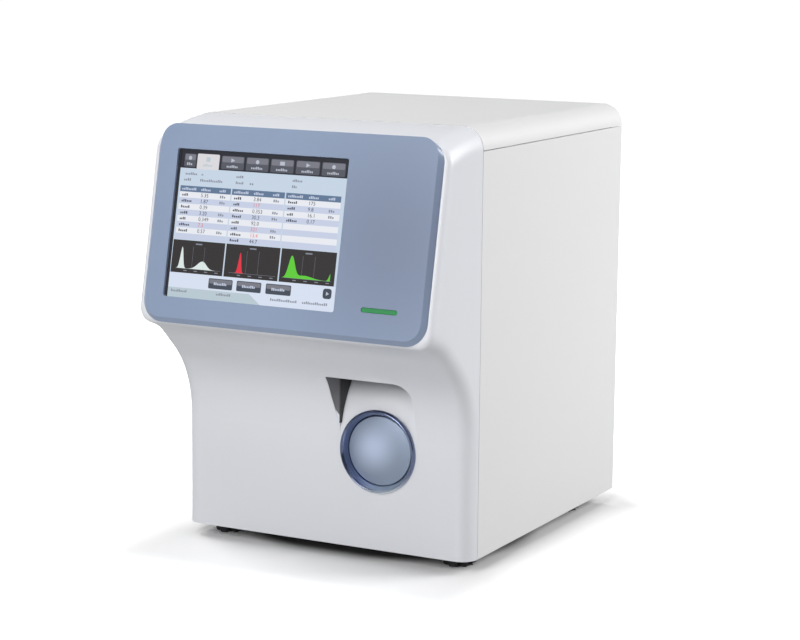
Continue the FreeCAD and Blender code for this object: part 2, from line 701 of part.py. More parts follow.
def display_stack():
    """Touch glass, display module and its driver board, stacked behind the bezel."""
    glass_back = "(glass_setback + glass_thickness)"
    span = ("-module_left", "module_right", "module_low", "module_high")
    node(leaning_block("glass", *span, "glass_setback", glass_back), "touch_glass")
    module_back = f"({glass_back} + module_depth)"
    module = leaning_block("module", *span, glass_back, module_back)
    node(module, "display_module")
    inner = ("-module_left + board_margin", "module_right - board_margin",
             "module_low + board_margin", "module_high - board_margin")
    front = f"({module_back} + board_setback)"
    board = leaning_block("driver_sheet", *inner, front, f"{front} + board_thickness")
    posts = []
    for i, (x, up) in enumerate(((inner[0], inner[2]), (inner[1], inner[2]),
                                 (inner[0], inner[3]), (inner[1], inner[3]))):
        inset_x = f"{x} + standoff_radius" if x == inner[0] else f"{x} - standoff_radius"
        inset_up = f"{up} + standoff_radius" if up == inner[2] else f"{up} - standoff_radius"
        post = doc.addObject("Part::Prism", f"driver_post_{i + 1}")
        post.Polygon = 6
        bind(post, Circumradius="standoff_radius", Height="board_setback")
        posts.append(lean(post, inset_x, inset_up, front))
    node(joined("driver", board, *posts), "driver_board")


def status_light_bar():
    """Clear bar that fills the slot in the bezel, on a flange behind it."""
    gap = "fit_gap"
    bar = doc.addObject("PartDesign::Body", "light_bar")
    sketch = new_sketch(bar, "light_outline", "XY_Plane")
    draw_rounded(sketch, f"light_left + {gap}", f"light_right - {gap}", f"light_low + {gap}",
                 f"light_high - {gap}", f"(light_high - light_low) * slot_end_share - {gap}")
    pad(bar, sketch, "bezel_depth + light_flange_depth - light_set")
    lean(bar, "0", "0", "bezel_depth + light_flange_depth")
    flange = leaning_block("light_base", f"light_left - light_flange + {gap}",
                           f"light_right + light_flange - {gap}",
                           f"light_low - light_flange + {gap}",
                           f"light_high + light_flange - {gap}", "bezel_depth",
                           "bezel_depth + light_flange_depth")
    node(joined("light_guide", bar, flange), "status_light_bar")


def key_parts():
    """Round sampling key: metal trim ring, crowned cap, its steel bridge and switch."""
    centre = ("key_x", FRONT, "key_height")
    ring = turned("ring_form", [
        ("ring_radius", "0"), ("ring_radius", "ring_proud"), ("ring_mouth_radius", "ring_proud"),
        ("ring_throat_radius", "ring_proud - ring_throat_depth"),
        ("ring_throat_radius", "-ring_depth"), ("ring_tube_radius", "-ring_depth"),
        ("ring_tube_radius", "0")], *centre, along="front")
    node(ring, "key_ring")

    radius = "(ring_throat_radius - key_fit)"
    crown = "(key_dome - key_rim_depth)"
    inner = "(-key_rim_depth - key_shell)"
    stem_tip = "(-seam_setback + key_travel + fit_gap)"
    cap = turned("key_cap", [
        ("0", crown), (f"{radius} * crown_share", crown), (radius, "-key_rim_depth"),
        (radius, "-key_skirt_depth"), (f"{radius} - key_shell", "-key_skirt_depth"),
        (f"{radius} - key_shell", inner), ("stem_radius", inner), ("stem_radius", stem_tip),
        ("0", stem_tip)], *centre, along="front")
    node(cap, "aspirate_key")

    stem_end = f"({SEAM} - key_travel - fit_gap)"
    plunger = rod("plunger_pin", "key_x", stem_end, "key_height", "switch_plunger_radius",
                  f"{BULKHEAD} + plunger_reach - {stem_end}", "y")
    node(plunger, "switch_plunger")
    bridge = upright_plate("bridge_form", [
        (draw_box, "bulkhead_left - bridge_lap", "bulkhead_right + bridge_lap",
         "key_height - bridge_tall / 2", "key_height + bridge_tall / 2"),
        (draw_circle, "key_x", "key_height", "switch_plunger_radius + bore_fit")],
        f"{BULKHEAD} + sheet_wall", "sheet_wall")
    node(bridge, "key_bridge")
    back = f"({BULKHEAD} + sheet_wall)"
    half = "switch_size / 2"
    case = block("switch_block", f"key_x - {half}", f"key_x + {half}", back,
                 f"{back} + switch_depth", f"key_height - {half}", f"key_height + {half}")
    bore = rod("switch_well", "key_x", back, "key_height", "switch_plunger_radius + plunger_fit",
               "plunger_reach + key_travel - sheet_wall + fit_gap", "y")
    node(cut("switch_case", case, bore), "key_switch")


def probe_bay_liner():
    """Dark liner on the pocket's ceiling and the rear of its left wall, slotted for the probe."""
    rear = f"({FRONT} + pocket_depth)"
    sheet_top = block("liner_top", "pocket_left", "pocket_right - pocket_corner",
                      f"{PROBE_Y} - slot_length / 2 + liner_front", rear,
                      "pocket_top - liner_thickness", "pocket_top")
    sheet_side = block("liner_side", "pocket_left", "pocket_left + liner_thickness",
                       f"{FRONT} - liner_front", rear, "liner_foot", "pocket_top")
    drum = pocket_drum("liner_drum", "0")
    slot = block("liner_slot", "key_x - slot_half_width", "key_x + slot_half_width",
                 f"{PROBE_Y} - slot_length", f"{PROBE_Y} + slot_length / 2",
                 "pocket_top - overrun", "pocket_top + overrun")
    node(cut("liner_cut", joined("liner_form", sheet_top, sheet_side), drum, slot),
         "probe_bay_liner")


def top_cover():
    """Lid with two rounded long edges, running from the front seam to the back."""
    body = doc.addObject("PartDesign::Body", "lid_form")
    sketch = new_sketch(body, "lid_section", "XZ_Plane")
    low = f"({SIDE_SEAM} + seam_gap)"
    draw_outline(sketch, [(HALF, low), (HALF, "body_height"), (f"-{HALF}", "body_height"),
                          (f"-{HALF}", low), (f"-{INSIDE}", low), (f"-{INSIDE}", ROOF),
                          (INSIDE, ROOF), (INSIDE, low)])
    pad(body, sketch, f"{BACK} - {BEHIND_SEAM}")
    top, roof = val("body_height"), val(ROOF)
    fillet(body, "top_radius", lambda e: runs(e, Y_WAY) and abs(middle(e).z - top) < 1e-3)
    fillet(body, "top_radius - panel_wall",
           lambda e: runs(e, Y_WAY) and abs(middle(e).z - roof) < 1e-3)
    chamfer(body, "panel_wall * lid_edge_share", lambda e: abs(middle(e).y) < 1e-3
            and middle(e).z > roof + 1e-3 and abs(middle(e).x) < 1)
    place(body, "0", BACK, "0")
    return node(body, "top_cover")


def side_panel(name, inner, outer):
    """Flat side panel with a rounded rear outer edge."""
    body = doc.addObject("PartDesign::Body", name)
    sketch = new_sketch(body, name + "_plan", "XY_Plane")
    draw_box(sketch, inner, outer, BEHIND_SEAM, BACK)
    pad(body, sketch, f"{SIDE_SEAM} - foot_height")
    out, back = val(outer), val(BACK)
    fillet(body, "panel_wall * side_edge_share", lambda e: runs(e, Z_WAY)
           and (middle(e) - Vector(out, back, middle(e).z)).Length < 1e-3)
    return place(body, "0", "0", "foot_height")


def door_places():
    """Shared lines of the door: its two ends, its hinge line and its heights."""
    front = f"({BULKHEAD} + bay_front)"
    rear = BAY_REAR
    return {"front": front, "rear": rear, "low": f"({FLOOR} + bay_foot)",
            "high": f"({FLOOR} + bay_foot + bay_height)",
            "pin_x": f"(-{HALF} + pin_depth)", "pin_y": f"({rear} - pin_inset)"}


def left_side():
    """Left panel with its reagent door, hung on two short pins in lugs."""
    door = door_places()
    wall = side_panel("left_form", f"-{HALF}", f"-{INSIDE}")
    gap = "door_gap"
    opening = block("door_opening", f"-{HALF} - overrun", f"-{INSIDE} + overrun",
                    f"{door['front']} - {gap}", f"{door['rear']} + {gap}",
                    f"{door['low']} - {gap}", f"{door['high']} + {gap}")
    scoop = rod("scoop_cut", f"-{HALF} - overrun", f"{door['front']} - {gap}",
                f"({door['low']} + {door['high']}) / 2", "scoop_radius",
                "panel_wall + 2 * overrun", "x")
    panel = cut("left_opened", wall, opening, scoop)
    lugs, bores, pins = [], [], []
    for tag, start, sign in (("low", f"{door['low']} - {gap}", "-"),
                             ("high", f"{door['high']} + {gap}", "+")):
        far = f"{start} {sign} lug_size"
        low, high = (far, start) if sign == "-" else (start, far)
        lugs.append(block("lug_" + tag, f"-{HALF}", f"-{INSIDE} + lug_depth",
                          f"{door['pin_y']} - lug_size / 2", f"{door['pin_y']} + lug_size / 2",
                          low, high))
        base = f"({start} {sign} {gap} / 2 - pin_length / 2)"
        bores.append(rod("pin_bore_" + tag, door["pin_x"], door["pin_y"], base, "pin_radius",
                         "pin_length"))
        pins.append(rod("pin_" + tag, door["pin_x"], door["pin_y"], base, "pin_radius",
                        "pin_length"))
    node(cut("left_panel_cut", joined("left_lugged", panel, *lugs), *bores), "left_side_panel")
    node(group("door_pin_pair", pins), "door_pins")

    leaf = block("door_leaf", f"-{HALF}", f"-{INSIDE}", door["front"], door["rear"],
                 door["low"], door["high"])
    boss = rod("door_boss", door["pin_x"], door["pin_y"], door["low"], "boss_radius", "bay_height")
    fitted = "pin_radius + pin_fit"
    sockets = [rod("socket_low", door["pin_x"], door["pin_y"], f"{door['low']} - overrun", fitted,
                   "overrun + pin_length"),
               rod("socket_high", door["pin_x"], door["pin_y"], f"{door['high']} - pin_length",
                   fitted, "overrun + pin_length")]
    notch = rod("door_notch", f"-{HALF} - overrun", f"{door['front']} - {gap}",
                f"({door['low']} + {door['high']}) / 2", "scoop_radius",
                "panel_wall + 2 * overrun", "x")
    node(cut("door_cut", joined("door_form", leaf, boss), *sockets, notch), "reagent_door")


def reagent_bay():
    """Open-fronted tray behind the door that holds one reagent bottle."""
    door = door_places()
    front, rear = f"({door['front']} + bay_wall)", f"({door['rear']} - bay_wall - lug_size)"
    outer_x = f"(-{INSIDE} + lug_depth)"
    inner_x = f"({outer_x} + bay_depth)"
    box = block("bay_box", outer_x, inner_x, f"{front} - bay_wall", f"{rear} + bay_wall",
                FLOOR, f"{door['high']} + bay_wall")
    room = block("bay_room", f"{outer_x} - overrun", f"{inner_x} - bay_wall", front, rear,
                 door["low"], door["high"])
    under = block("bay_under", f"{outer_x} - overrun", f"{inner_x} - bay_wall", front, rear,
                  f"{FLOOR} + bay_wall", f"{door['low']} - bay_wall")
    node(cut("bay_cut", box, room, under), "reagent_bay")


def chassis():
    """Steel base tray, front bulkhead, partition, rails and rubber feet."""
    edge = INSIDE
    tray = block("tray_box", f"-{edge}", edge, SEAM, REAR_INNER, "foot_height",
                 "foot_height + base_flange")
    inner = block("tray_room", f"-{edge} + sheet_wall", f"{edge} - sheet_wall",
                  f"{SEAM} - overrun", f"{REAR_INNER} + overrun", FLOOR,
                  "foot_height + base_flange + overrun")
    spots = [(f"{side}({HALF} - foot_inset)", y) for side in ("-", "")
             for y in (f"({SEAM} + foot_front)", f"({REAR_FACE} - foot_rear)")]
    feet = []
    for i, (x, y) in enumerate(spots):
        feet.append(eight_sided(f"foot_{i + 1}", f"{x} - foot_half", f"{x} + foot_half",
                                f"{y} - foot_half", f"{y} + foot_half", "0", "foot_height",
                                "foot_half * foot_corner_share"))
    node(cut("tray_cut", tray, inner), "base_tray")
    node(group("foot_set", feet), "rubber_feet")

    inset = f"({edge} - sheet_wall)"
    bulkhead = upright_plate("bulkhead_form", [
        (draw_box, f"-{inset}", inset, FLOOR, ROOF),
        (draw_box, "bulkhead_left", "bulkhead_right", "bulkhead_low", "bulkhead_high"),
        (draw_box, "-module_left", "bulkhead_left - bulkhead_margin", "bulkhead_low + bulkhead_step",
         "bulkhead_high")],
        BULKHEAD, "sheet_wall", "top_radius - panel_wall", ROOF)
    node(bulkhead, "front_bulkhead")
    node(block("partition_form", "-partition_x - sheet_wall", "-partition_x", BULKHEAD,
               f"{REAR_INNER} - partition_rear", FLOOR, "partition_top"),
         "mid_partition")
    rails = []
    for tag, sign in (("left", "-"), ("right", "")):
        body = doc.addObject("PartDesign::Body", f"rail_{tag}")
        sketch = new_sketch(body, f"rail_{tag}_section", "XZ_Plane")
        out, into = f"{sign}{edge}", f"{sign}({edge} - rail_width)"
        near = f"{sign}({edge} - rail_wall)"
        low, high = f"({SIDE_SEAM} + rail_lap - rail_height)", f"({SIDE_SEAM} + rail_lap)"
        draw_outline(sketch, [(out, low), (into, low), (into, f"{low} + rail_wall"),
                              (near, f"{low} + rail_wall"), (near, high), (out, high)])
        pad(body, sketch, f"{REAR_INNER} - {BULKHEAD}")
        rails.append(place(body, "0", REAR_INNER, "0"))
    node(group("rail_pair", rails), "side_rails")


def port_spot(index):
    """Height of one hose port."""
    return f"(port_low + {index} * port_step)"


def usb_spot(index):
    """Left, right, low and high edges of one of the stacked small sockets."""
    column, row = divmod(index, 2)
    left = f"(usb_left + {column} * (usb_width + usb_gap))"
    low = f"(usb_height + {row} * usb_step)"
    return left, f"{left} + usb_width", low, f"{low} + usb_tall"


def rear_panel():
    """Inset rear wall, cut for the fan, inlet, switch, sockets and hose ports."""
    inset = INSIDE
    cuts = [(draw_box, f"-{inset}", inset, "foot_height", ROOF),
            (draw_box, "fan_x - fan_bore", "fan_x + fan_bore", "fan_height - fan_bore",
             "fan_height + fan_bore"),
            (draw_box, "-inlet_x - inlet_width / 2", "-inlet_x + inlet_width / 2",
             "inlet_height - inlet_tall / 2", "inlet_height + inlet_tall / 2"),
            (draw_box, "-switch_x - rocker_case_width / 2", "-switch_x + rocker_case_width / 2",
             "inlet_height - rocker_case_tall / 2", "inlet_height + rocker_case_tall / 2"),
            (draw_box, "-lan_x - lan_width / 2", "-lan_x + lan_width / 2",
             "usb_height", "usb_height + lan_tall")]
    for i in range(int(SIZES["usb_count"])):
        cuts.append((draw_box, *usb_spot(i)))
    for i in range(int(SIZES["port_count"])):
        cuts.append((draw_circle, "port_x", port_spot(i), "nipple_radius + bore_fit"))
    panel = upright_plate("rear_form", cuts, REAR_FACE, "sheet_wall",
                          "top_radius - panel_wall", ROOF)
    node(panel, "rear_panel")


def fan():
    """Axial fan: square frame with spokes, a bladed rotor on a shaft, and a slatted guard."""
    x, z, back = "fan_x", "fan_height", REAR_INNER
    half = "fan_size / 2"
    body = doc.addObject("PartDesign::Body", "fan_box")
    sketch = new_sketch(body, "fan_face", "XZ_Plane")
    draw_box(sketch, f"{x} - {half}", f"{x} + {half}", f"{z} - {half}", f"{z} + {half}")
    draw_circle(sketch, x, z, "fan_bore")
    pad(body, sketch, "fan_thickness")
    place(body, "0", back, "0")
    hub_front = f"({back} - fan_thickness)"
    hub = rod("fan_motor", x, hub_front, z, "fan_hub", "fan_spoke", "y")
    arm = "(fan_size / 4 + fan_bore / 2)"
    bars = [block("fan_bar_up", f"{x} - fan_spoke / 2", f"{x} + fan_spoke / 2", hub_front,
                  f"{hub_front} + fan_spoke", f"{z} - {arm}", f"{z} + {arm}"),
            block("fan_bar_side", f"{x} - {arm}", f"{x} + {arm}",
                  hub_front, f"{hub_front} + fan_spoke", f"{z} - fan_spoke / 2",
                  f"{z} + fan_spoke / 2")]
    shaft = rod("fan_shaft", x, f"{hub_front} + fan_spoke", z, "shaft_radius",
                "fan_thickness - 2 * fan_spoke", "y")
    node(joined("fan_whole", body, hub, *bars, shaft), "fan_frame")

    front = f"({hub_front} + fan_spoke + rotor_gap)"
    hub_form = rod("rotor_drum", x, front, z, "rotor_hub", "rotor_skirt", "y")
    blades = []
    count = int(SIZES["blade_count"])
    for i in range(count):
        blade = doc.addObject("Part::Box", f"blade_{i + 1}")
        bind(blade, Length="rotor_tip - rotor_hub + blade_root", Width="blade_chord",
             Height="blade_thickness")
        spin = Rotation(Vector(0, 1, 0), 360 * i / count)
        pitch = Rotation(Vector(1, 0, 0), val("blade_angle"))
        base = spin.multVec(Vector(val("rotor_hub - blade_root"), 0, 0))
        seat = pitch.multVec(Vector(0, -val("blade_chord") / 2, -val("blade_thickness") / 2))
        centre = Vector(val(x), val(front) + val("rotor_skirt") / 2, val(z))
        blade.Placement = Placement(centre + base + spin.multVec(seat), spin.multiply(pitch))
        blades.append(blade)
    bore = rod("rotor_bore", x, f"{front} - overrun", z, "shaft_radius + shaft_fit",
               "rotor_skirt + 2 * overrun", "y")
    node(cut("rotor_cut", joined("rotor_form", hub_form, *blades), bore), "fan_rotor")

    reach, room = f"({half} + guard_lap)", f"({half} + guard_lap - guard_rim)"
    rear = f"{REAR_FACE} + guard_depth"
    rim = cut("guard_rim_cut",
              block("guard_plate", f"{x} - {reach}", f"{x} + {reach}", REAR_FACE, rear,
                    f"{z} - {reach}", f"{z} + {reach}"),
              block("guard_room", f"{x} - {room}", f"{x} + {room}", f"{REAR_FACE} - overrun",
                    f"{rear} + overrun", f"{z} - {room}", f"{z} + {room}"))
    slats = []
    count = int(SIZES["slat_count"])
    for i in range(count):
        low = f"({z} - {room} + 2 * {room} * {i + 1} / {count + 1} - slat_thickness / 2)"
        slats.append(block(f"slat_{i + 1}", f"{x} - {room}", f"{x} + {room}", REAR_FACE, rear,
                           low, f"{low} + slat_thickness"))
    node(joined("guard_form", rim, *slats), "fan_guard")


def power_entry():
    """Mains inlet with its three contacts, and the rocker switch beside it."""
    x, z = "-inlet_x", "inlet_height"
    outer = REAR_FACE
    half_w, half_t = "inlet_width / 2", "inlet_tall / 2"
    shell = block("inlet_body", f"{x} - {half_w} + bore_fit", f"{x} + {half_w} - bore_fit",
                  f"{outer} - inlet_depth", outer, f"{z} - {half_t} + bore_fit",
                  f"{z} + {half_t} - bore_fit")
    flange = rounded_plate("inlet_plate", f"{x} - inlet_flange_width / 2",
                           f"{x} + inlet_flange_width / 2", f"{z} - inlet_flange_tall / 2",
                           f"{z} + inlet_flange_tall / 2", f"{outer} + inlet_flange",
                           "inlet_flange", "inlet_flange_tall * inlet_corner_share")
    room = block("inlet_room", f"{x} - inlet_cavity_width / 2", f"{x} + inlet_cavity_width / 2",
                 f"{outer} + inlet_flange - inlet_cavity_depth", f"{outer} + overrun",
                 f"{z} - inlet_cavity_tall / 2", f"{z} + inlet_cavity_tall / 2")
    floor_y = f"({outer} + inlet_flange - inlet_cavity_depth)"
    pins = []
    for i, (dx, dz) in enumerate((("-1", "-1"), ("0", "1"), ("1", "-1"))):
        cx, cz = f"({x} + {dx} * contact_spread)", f"({z} + {dz} * contact_rise)"
        pins.append(block(f"contact_{i + 1}", f"{cx} - contact_thickness / 2",
                          f"{cx} + contact_thickness / 2", floor_y, f"{floor_y} + contact_length",
                          f"{cz} - contact_width / 2", f"{cz} + contact_width / 2"))
    hollow = cut("inlet_cut", joined("inlet_form", shell, flange), room)
    node(joined("inlet_whole", hollow, *pins), "power_inlet")

    sx = "-switch_x"
    half_w, half_t = "rocker_case_width / 2", "rocker_case_tall / 2"
    case = block("rocker_box", f"{sx} - {half_w} + bore_fit", f"{sx} + {half_w} - bore_fit",
                 f"{outer} - rocker_case_depth", outer, f"{z} - {half_t} + bore_fit",
                 f"{z} + {half_t} - bore_fit")
    rim = rounded_plate("rocker_rim", f"{sx} - {half_w} - rocker_rim",
                        f"{sx} + {half_w} + rocker_rim", f"{z} - {half_t} - rocker_rim",
                        f"{z} + {half_t} + rocker_rim", f"{outer} + rocker_rim", "rocker_rim",
                        "rocker_rim")
    pivot_y = f"({outer} - rocker_pin)"
    swing = "(rocker_half + rocker_rise + rocker_fit * 4)"
    void = rod("rocker_void", f"{sx} - rocker_width / 2 - 4 * rocker_fit", pivot_y, z, swing,
               "rocker_width + 8 * rocker_fit", "x")
    pin = rod("rocker_axle", f"{sx} - {half_w} + rocker_rim", pivot_y, z, "rocker_pin",
              "rocker_case_width - 2 * rocker_rim", "x")
    limit = block("rocker_limit", f"{sx} - rocker_width", f"{sx} + rocker_width",
                  f"{outer} - rocker_case_depth + rocker_rim", f"{outer} + overrun",
                  f"{z} - {half_t} + rocker_rim / 2", f"{z} + {half_t} - rocker_rim / 2")
    hole = shared("rocker_hole", void, limit)
    node(joined("rocker_housing", cut("rocker_shell", joined("rocker_form", case, rim), hole), pin),
         "power_switch")

    paddle = doc.addObject("PartDesign::Body", "paddle_form")
    sketch = new_sketch(paddle, "paddle_side", "YZ_Plane")
    lean_in = "(rocker_half * tan(rocker_swing / 2))"
    face = "(rocker_pin + rocker_rise)"
    draw_outline(sketch, [("-rocker_pin * 2", "-rocker_pin * 2"),
                          (f"{face} + {lean_in} - rocker_rise", "-rocker_half"),
                          (f"{face} + {lean_in}", "-rocker_half"), (face, "0"),
                          (f"{face} - {lean_in}", "rocker_half"),
                          (f"{face} - {lean_in} - rocker_rise", "rocker_half"),
                          ("-rocker_pin * 2", "rocker_pin * 2")])
    pad(paddle, sketch, "rocker_width", both=True)
    place(paddle, sx, pivot_y, z)
    bore = rod("paddle_bore", f"{sx} - rocker_width", pivot_y, z, "rocker_pin + rocker_fit",
               "2 * rocker_width", "x")
    node(cut("paddle_cut", paddle, bore), "power_rocker")


def data_sockets():
    """Small data sockets with their tongues, and a network socket, on one board."""
    outer = REAR_FACE
    shells = []
    for i in range(int(SIZES["usb_count"])):
        left, right, low, high = usb_spot(i)
        fit = "bore_fit"
        skin = block(f"usb_skin_{i + 1}", f"{left} + {fit}", f"{right} - {fit}",
                     f"{outer} - usb_depth", f"{outer} + usb_wall", f"{low} + {fit}",
                     f"{high} - {fit}")
        room = block(f"usb_room_{i + 1}", f"{left} + {fit} + usb_wall",
                     f"{right} - {fit} - usb_wall", f"{outer} - usb_depth + usb_tongue",
                     f"{outer} + overrun", f"{low} + {fit} + usb_wall",
                     f"{high} - {fit} - usb_wall")
        tongue = block(f"usb_tongue_{i + 1}", f"{left} + 2 * usb_tongue",
                       f"{right} - 2 * usb_tongue", f"{outer} - usb_depth", f"{outer} - usb_tongue",
                       f"{low} + usb_tall / 2", f"{low} + usb_tall / 2 + usb_tongue")
        shells.append(joined(f"usb_{i + 1}", cut(f"usb_shell_{i + 1}", skin, room), tongue))
    x = "-lan_x"
    half = "(lan_width / 2 - bore_fit)"
    shell = block("lan_skin", f"{x} - {half}", f"{x} + {half}", f"{outer} - lan_depth",
                  f"{outer} + usb_wall", "usb_height + bore_fit",
                  "usb_height + lan_tall - bore_fit")
    room = block("lan_room", f"{x} - {half} + lan_wall", f"{x} + {half} - lan_wall",
                 f"{outer} - lan_depth + lan_wall", f"{outer} + overrun",
                 "usb_height + bore_fit + lan_wall", "usb_height + lan_tall - bore_fit - lan_wall")
    shells.append(cut("lan_cut", shell, room))
    node(group("socket_set", shells), "data_sockets")
    front = f"({outer} - lan_depth)"
    board = block("socket_board_form", "-lan_x - lan_width", "usb_left + 2 * usb_width + usb_step",
                  f"{front} - board_thickness", front, "usb_height - usb_drop",
                  "usb_height + 2 * usb_step + usb_drop / 2")
    posts = []
    for i in range(2):
        left = f"(usb_left + {i} * (usb_width + usb_gap))"
        posts.append(block(f"usb_base_{i + 1}", f"{left} + bore_fit",
                           f"{left} + usb_width - bore_fit", front, f"{outer} - usb_depth",
                           "usb_height + bore_fit", "usb_height + usb_step + usb_tall - bore_fit"))
    node(joined("socket_board_whole", board, *posts), "socket_board")


def hose_ports():
    """Three hollow hose nipples with their nuts, for diluent, waste and the level line."""
    ports = []
    for i in range(int(SIZES["port_count"])):
        z = port_spot(i)
        stem = rod(f"nipple_{i + 1}", "port_x", f"{REAR_FACE} - port_tail", z, "nipple_radius",
                   "port_tail + nipple_length", "y")
        nut = hexagon(f"port_nut_{i + 1}", "port_x", REAR_FACE, z, "nut_radius", "nut_depth", "y")
        bore = rod(f"port_bore_{i + 1}", "port_x", f"{REAR_FACE} - port_tail - overrun", z,
                   "nipple_bore", "port_tail + nipple_length + 2 * overrun", "y")
        ports.append(cut(f"port_{i + 1}", joined(f"port_form_{i + 1}", stem, nut), bore))
    node(group("port_set", ports), "hose_ports")


def screws():
    """Six-sided screw heads round the rear panel."""
    heads = []
    edge = f"({INSIDE} - screw_edge)"
    high = f"({SIDE_SEAM} - screw_edge * 2)"
    spots = [(f"{side}{edge}", z) for side in ("-", "")
             for z in (f"({FLOOR} + 4 * screw_edge)", f"({FLOOR} + {high}) / 2", high)]
    spots += [(f"{side}{HALF} / 2", f"({ROOF} - screw_edge)") for side in ("-", "")]
    for i, (x, z) in enumerate(spots):
        heads.append(hexagon(f"screw_{i + 1}", x, REAR_FACE, z, "screw_radius", "screw_head", "y"))
    node(group("screw_set", heads), "panel_screws")


def probe_wall():
    """Upright plate that carries the whole sampling mechanism and the fluid parts."""
    body = doc.addObject("PartDesign::Body", "wall_form")
    sketch = new_sketch(body, "wall_side", "YZ_Plane")
    front = f"({PROBE_Y} - rod_front - end_thickness)"
    step = f"({FRONT} + pocket_depth + pocket_wall + fit_gap)"
    rear = f"({PROBE_Y} + carriage_travel + rod_rear + end_thickness)"
    draw_outline(sketch, [(front, "wall_low"), (step, "wall_low"), (step, FLOOR), (rear, FLOOR),
                          (rear, "wall_high"), (front, "wall_high")])
    pad(body, sketch, "wall_thickness")
    place(body, "wall_x", "0", "0")
    return node(body, "fluidics_plate")


def rod_ends():
    """Front and rear places of the guide rods."""
    front = f"({PROBE_Y} - rod_front)"
    rear = f"({PROBE_Y} + carriage_travel + rod_rear)"
    return front, rear


def probe_drive():
    """Guide rods in their end blocks, and the screw and motor that move the carriage."""
    front, rear = rod_ends()
    left = "(rod_x - block_half_width)"
    blocks = []
    for tag, start, stop in (("front", f"{front} - end_thickness", front),
                             ("rear", rear, f"{rear} + end_thickness")):
        base = block(f"end_{tag}", left, "wall_x", start, stop, "block_low", "block_high")
        holes = [rod(f"end_{tag}_hole_{i}", "rod_x", f"{start} - overrun", z, radius,
                     "end_thickness + 2 * overrun", "y")
                 for i, (z, radius) in enumerate((("rod_low", "rod_radius"),
                                                  ("rod_high", "rod_radius"),
                                                  (SCREW_Z, "screw_line_radius + slide_fit")))]
        blocks.append(cut(f"end_{tag}_cut", base, *holes))
    node(group("end_blocks", blocks), "rod_blocks")
    rods = [rod(f"guide_{i}", "rod_x", f"{front} - end_thickness", z, "rod_radius",
                f"{rear} - {front} + 2 * end_thickness", "y")
            for i, z in enumerate(("rod_low", "rod_high"))]
    node(group("guide_pair", rods), "guide_rods")
    node(rod("carriage_screw_form", "rod_x", f"{front} - end_thickness", SCREW_Z,
             "screw_line_radius", f"{rear} - {front} + 2 * end_thickness", "y"), "carriage_screw")
    motor_y = f"({rear} + end_thickness)"
    half = "motor_size / 2"
    motor = eight_sided("drive_box", f"-{half}", half, f"-{half}", half, "0", "motor_length",
                        "motor_size * motor_corner_share")
    place(motor, "rod_x", f"{motor_y} + motor_boss_height", SCREW_Z, X_WAY, "-90")
    boss = rod("drive_boss", "rod_x", motor_y, SCREW_Z, "motor_boss", "motor_boss_height", "y")
    node(joined("drive_motor", motor, boss), "carriage_motor")


def carriage():
    """Block that slides on the rods, with two ears that carry the vertical guide."""
    y_from, y_to = f"({PROBE_Y} - block_half_length)", f"({PROBE_Y} + block_half_length)"
    slab = block("slide_block", "rod_x - block_half_width", "rod_x + block_half_width",
                 y_from, y_to, "block_low", "block_high")
    bores = [rod(f"slide_bore_{i}", "rod_x", f"{y_from} - overrun", z, f"{radius} + slide_fit",
                 "2 * block_half_length + 2 * overrun", "y")
             for i, (z, radius) in enumerate((("rod_low", "rod_radius"),
                                              ("rod_high", "rod_radius"),
                                              (SCREW_Z, "screw_line_radius")))]
    plate = block("slide_plate", PLATE_X, f"{PLATE_X} + plate_thickness", y_from, y_to,
                  "plate_low", "plate_high")
    ears = [block(f"ear_{tag}", f"{PLATE_X} - ear_reach", PLATE_X, y_from, y_to, low, high)
            for tag, low, high in (("low", "plate_low", "plate_low + ear_thickness"),
                                   ("high", "plate_high - ear_thickness", "plate_high"))]
    reach, lowest = "2 * probe_radius", "(plate_low + ear_thickness)"
    bores += [block("probe_pass", f"key_x - {reach}", f"key_x + {reach}", f"{PROBE_Y} - {reach}",
                    f"{PROBE_Y} + {reach}", "plate_low - overrun", "plate_high + overrun"),
              rod("guide_seat", GUIDE_X, PROBE_Y, lowest, "guide_radius", "plate_tall"),
              rod("lift_seat", LIFT_X, PROBE_Y, lowest, "lift_radius + slide_fit", "plate_tall")]
    node(cut("slide_cut", joined("slide_form", slab, plate, *ears), *bores), "probe_carriage")
    node(rod("lift_guide_form", GUIDE_X, PROBE_Y, lowest, "guide_radius",
             f"plate_high - {lowest}"), "lift_guide_rod")
    node(rod("lift_screw_form", LIFT_X, PROBE_Y, lowest, "lift_radius",
             f"plate_high - {lowest}"), "lift_screw")
    half = "lift_motor_size / 2"
    motor = eight_sided("lift_box", f"{LIFT_X} - {half}", f"{LIFT_X} + {half}",
                        f"{PROBE_Y} - {half}", f"{PROBE_Y} + {half}", "plate_high",
                        "plate_high + lift_motor_height", "lift_motor_size * motor_corner_share")
    node(motor, "lift_motor")
    low = "plate_low - wipe_height"
    wipe = block("wipe_form", "key_x - wipe_half", "key_x + wipe_half", f"{PROBE_Y} - wipe_half",
                 f"{PROBE_Y} + wipe_half", low, "plate_low")
    pass_hole = rod("wipe_bore", "key_x", PROBE_Y, f"{low} - overrun", "probe_radius + slide_fit",
                    "wipe_height + 2 * overrun")
    node(cut("wipe_cut", wipe, pass_hole), "probe_wipe")


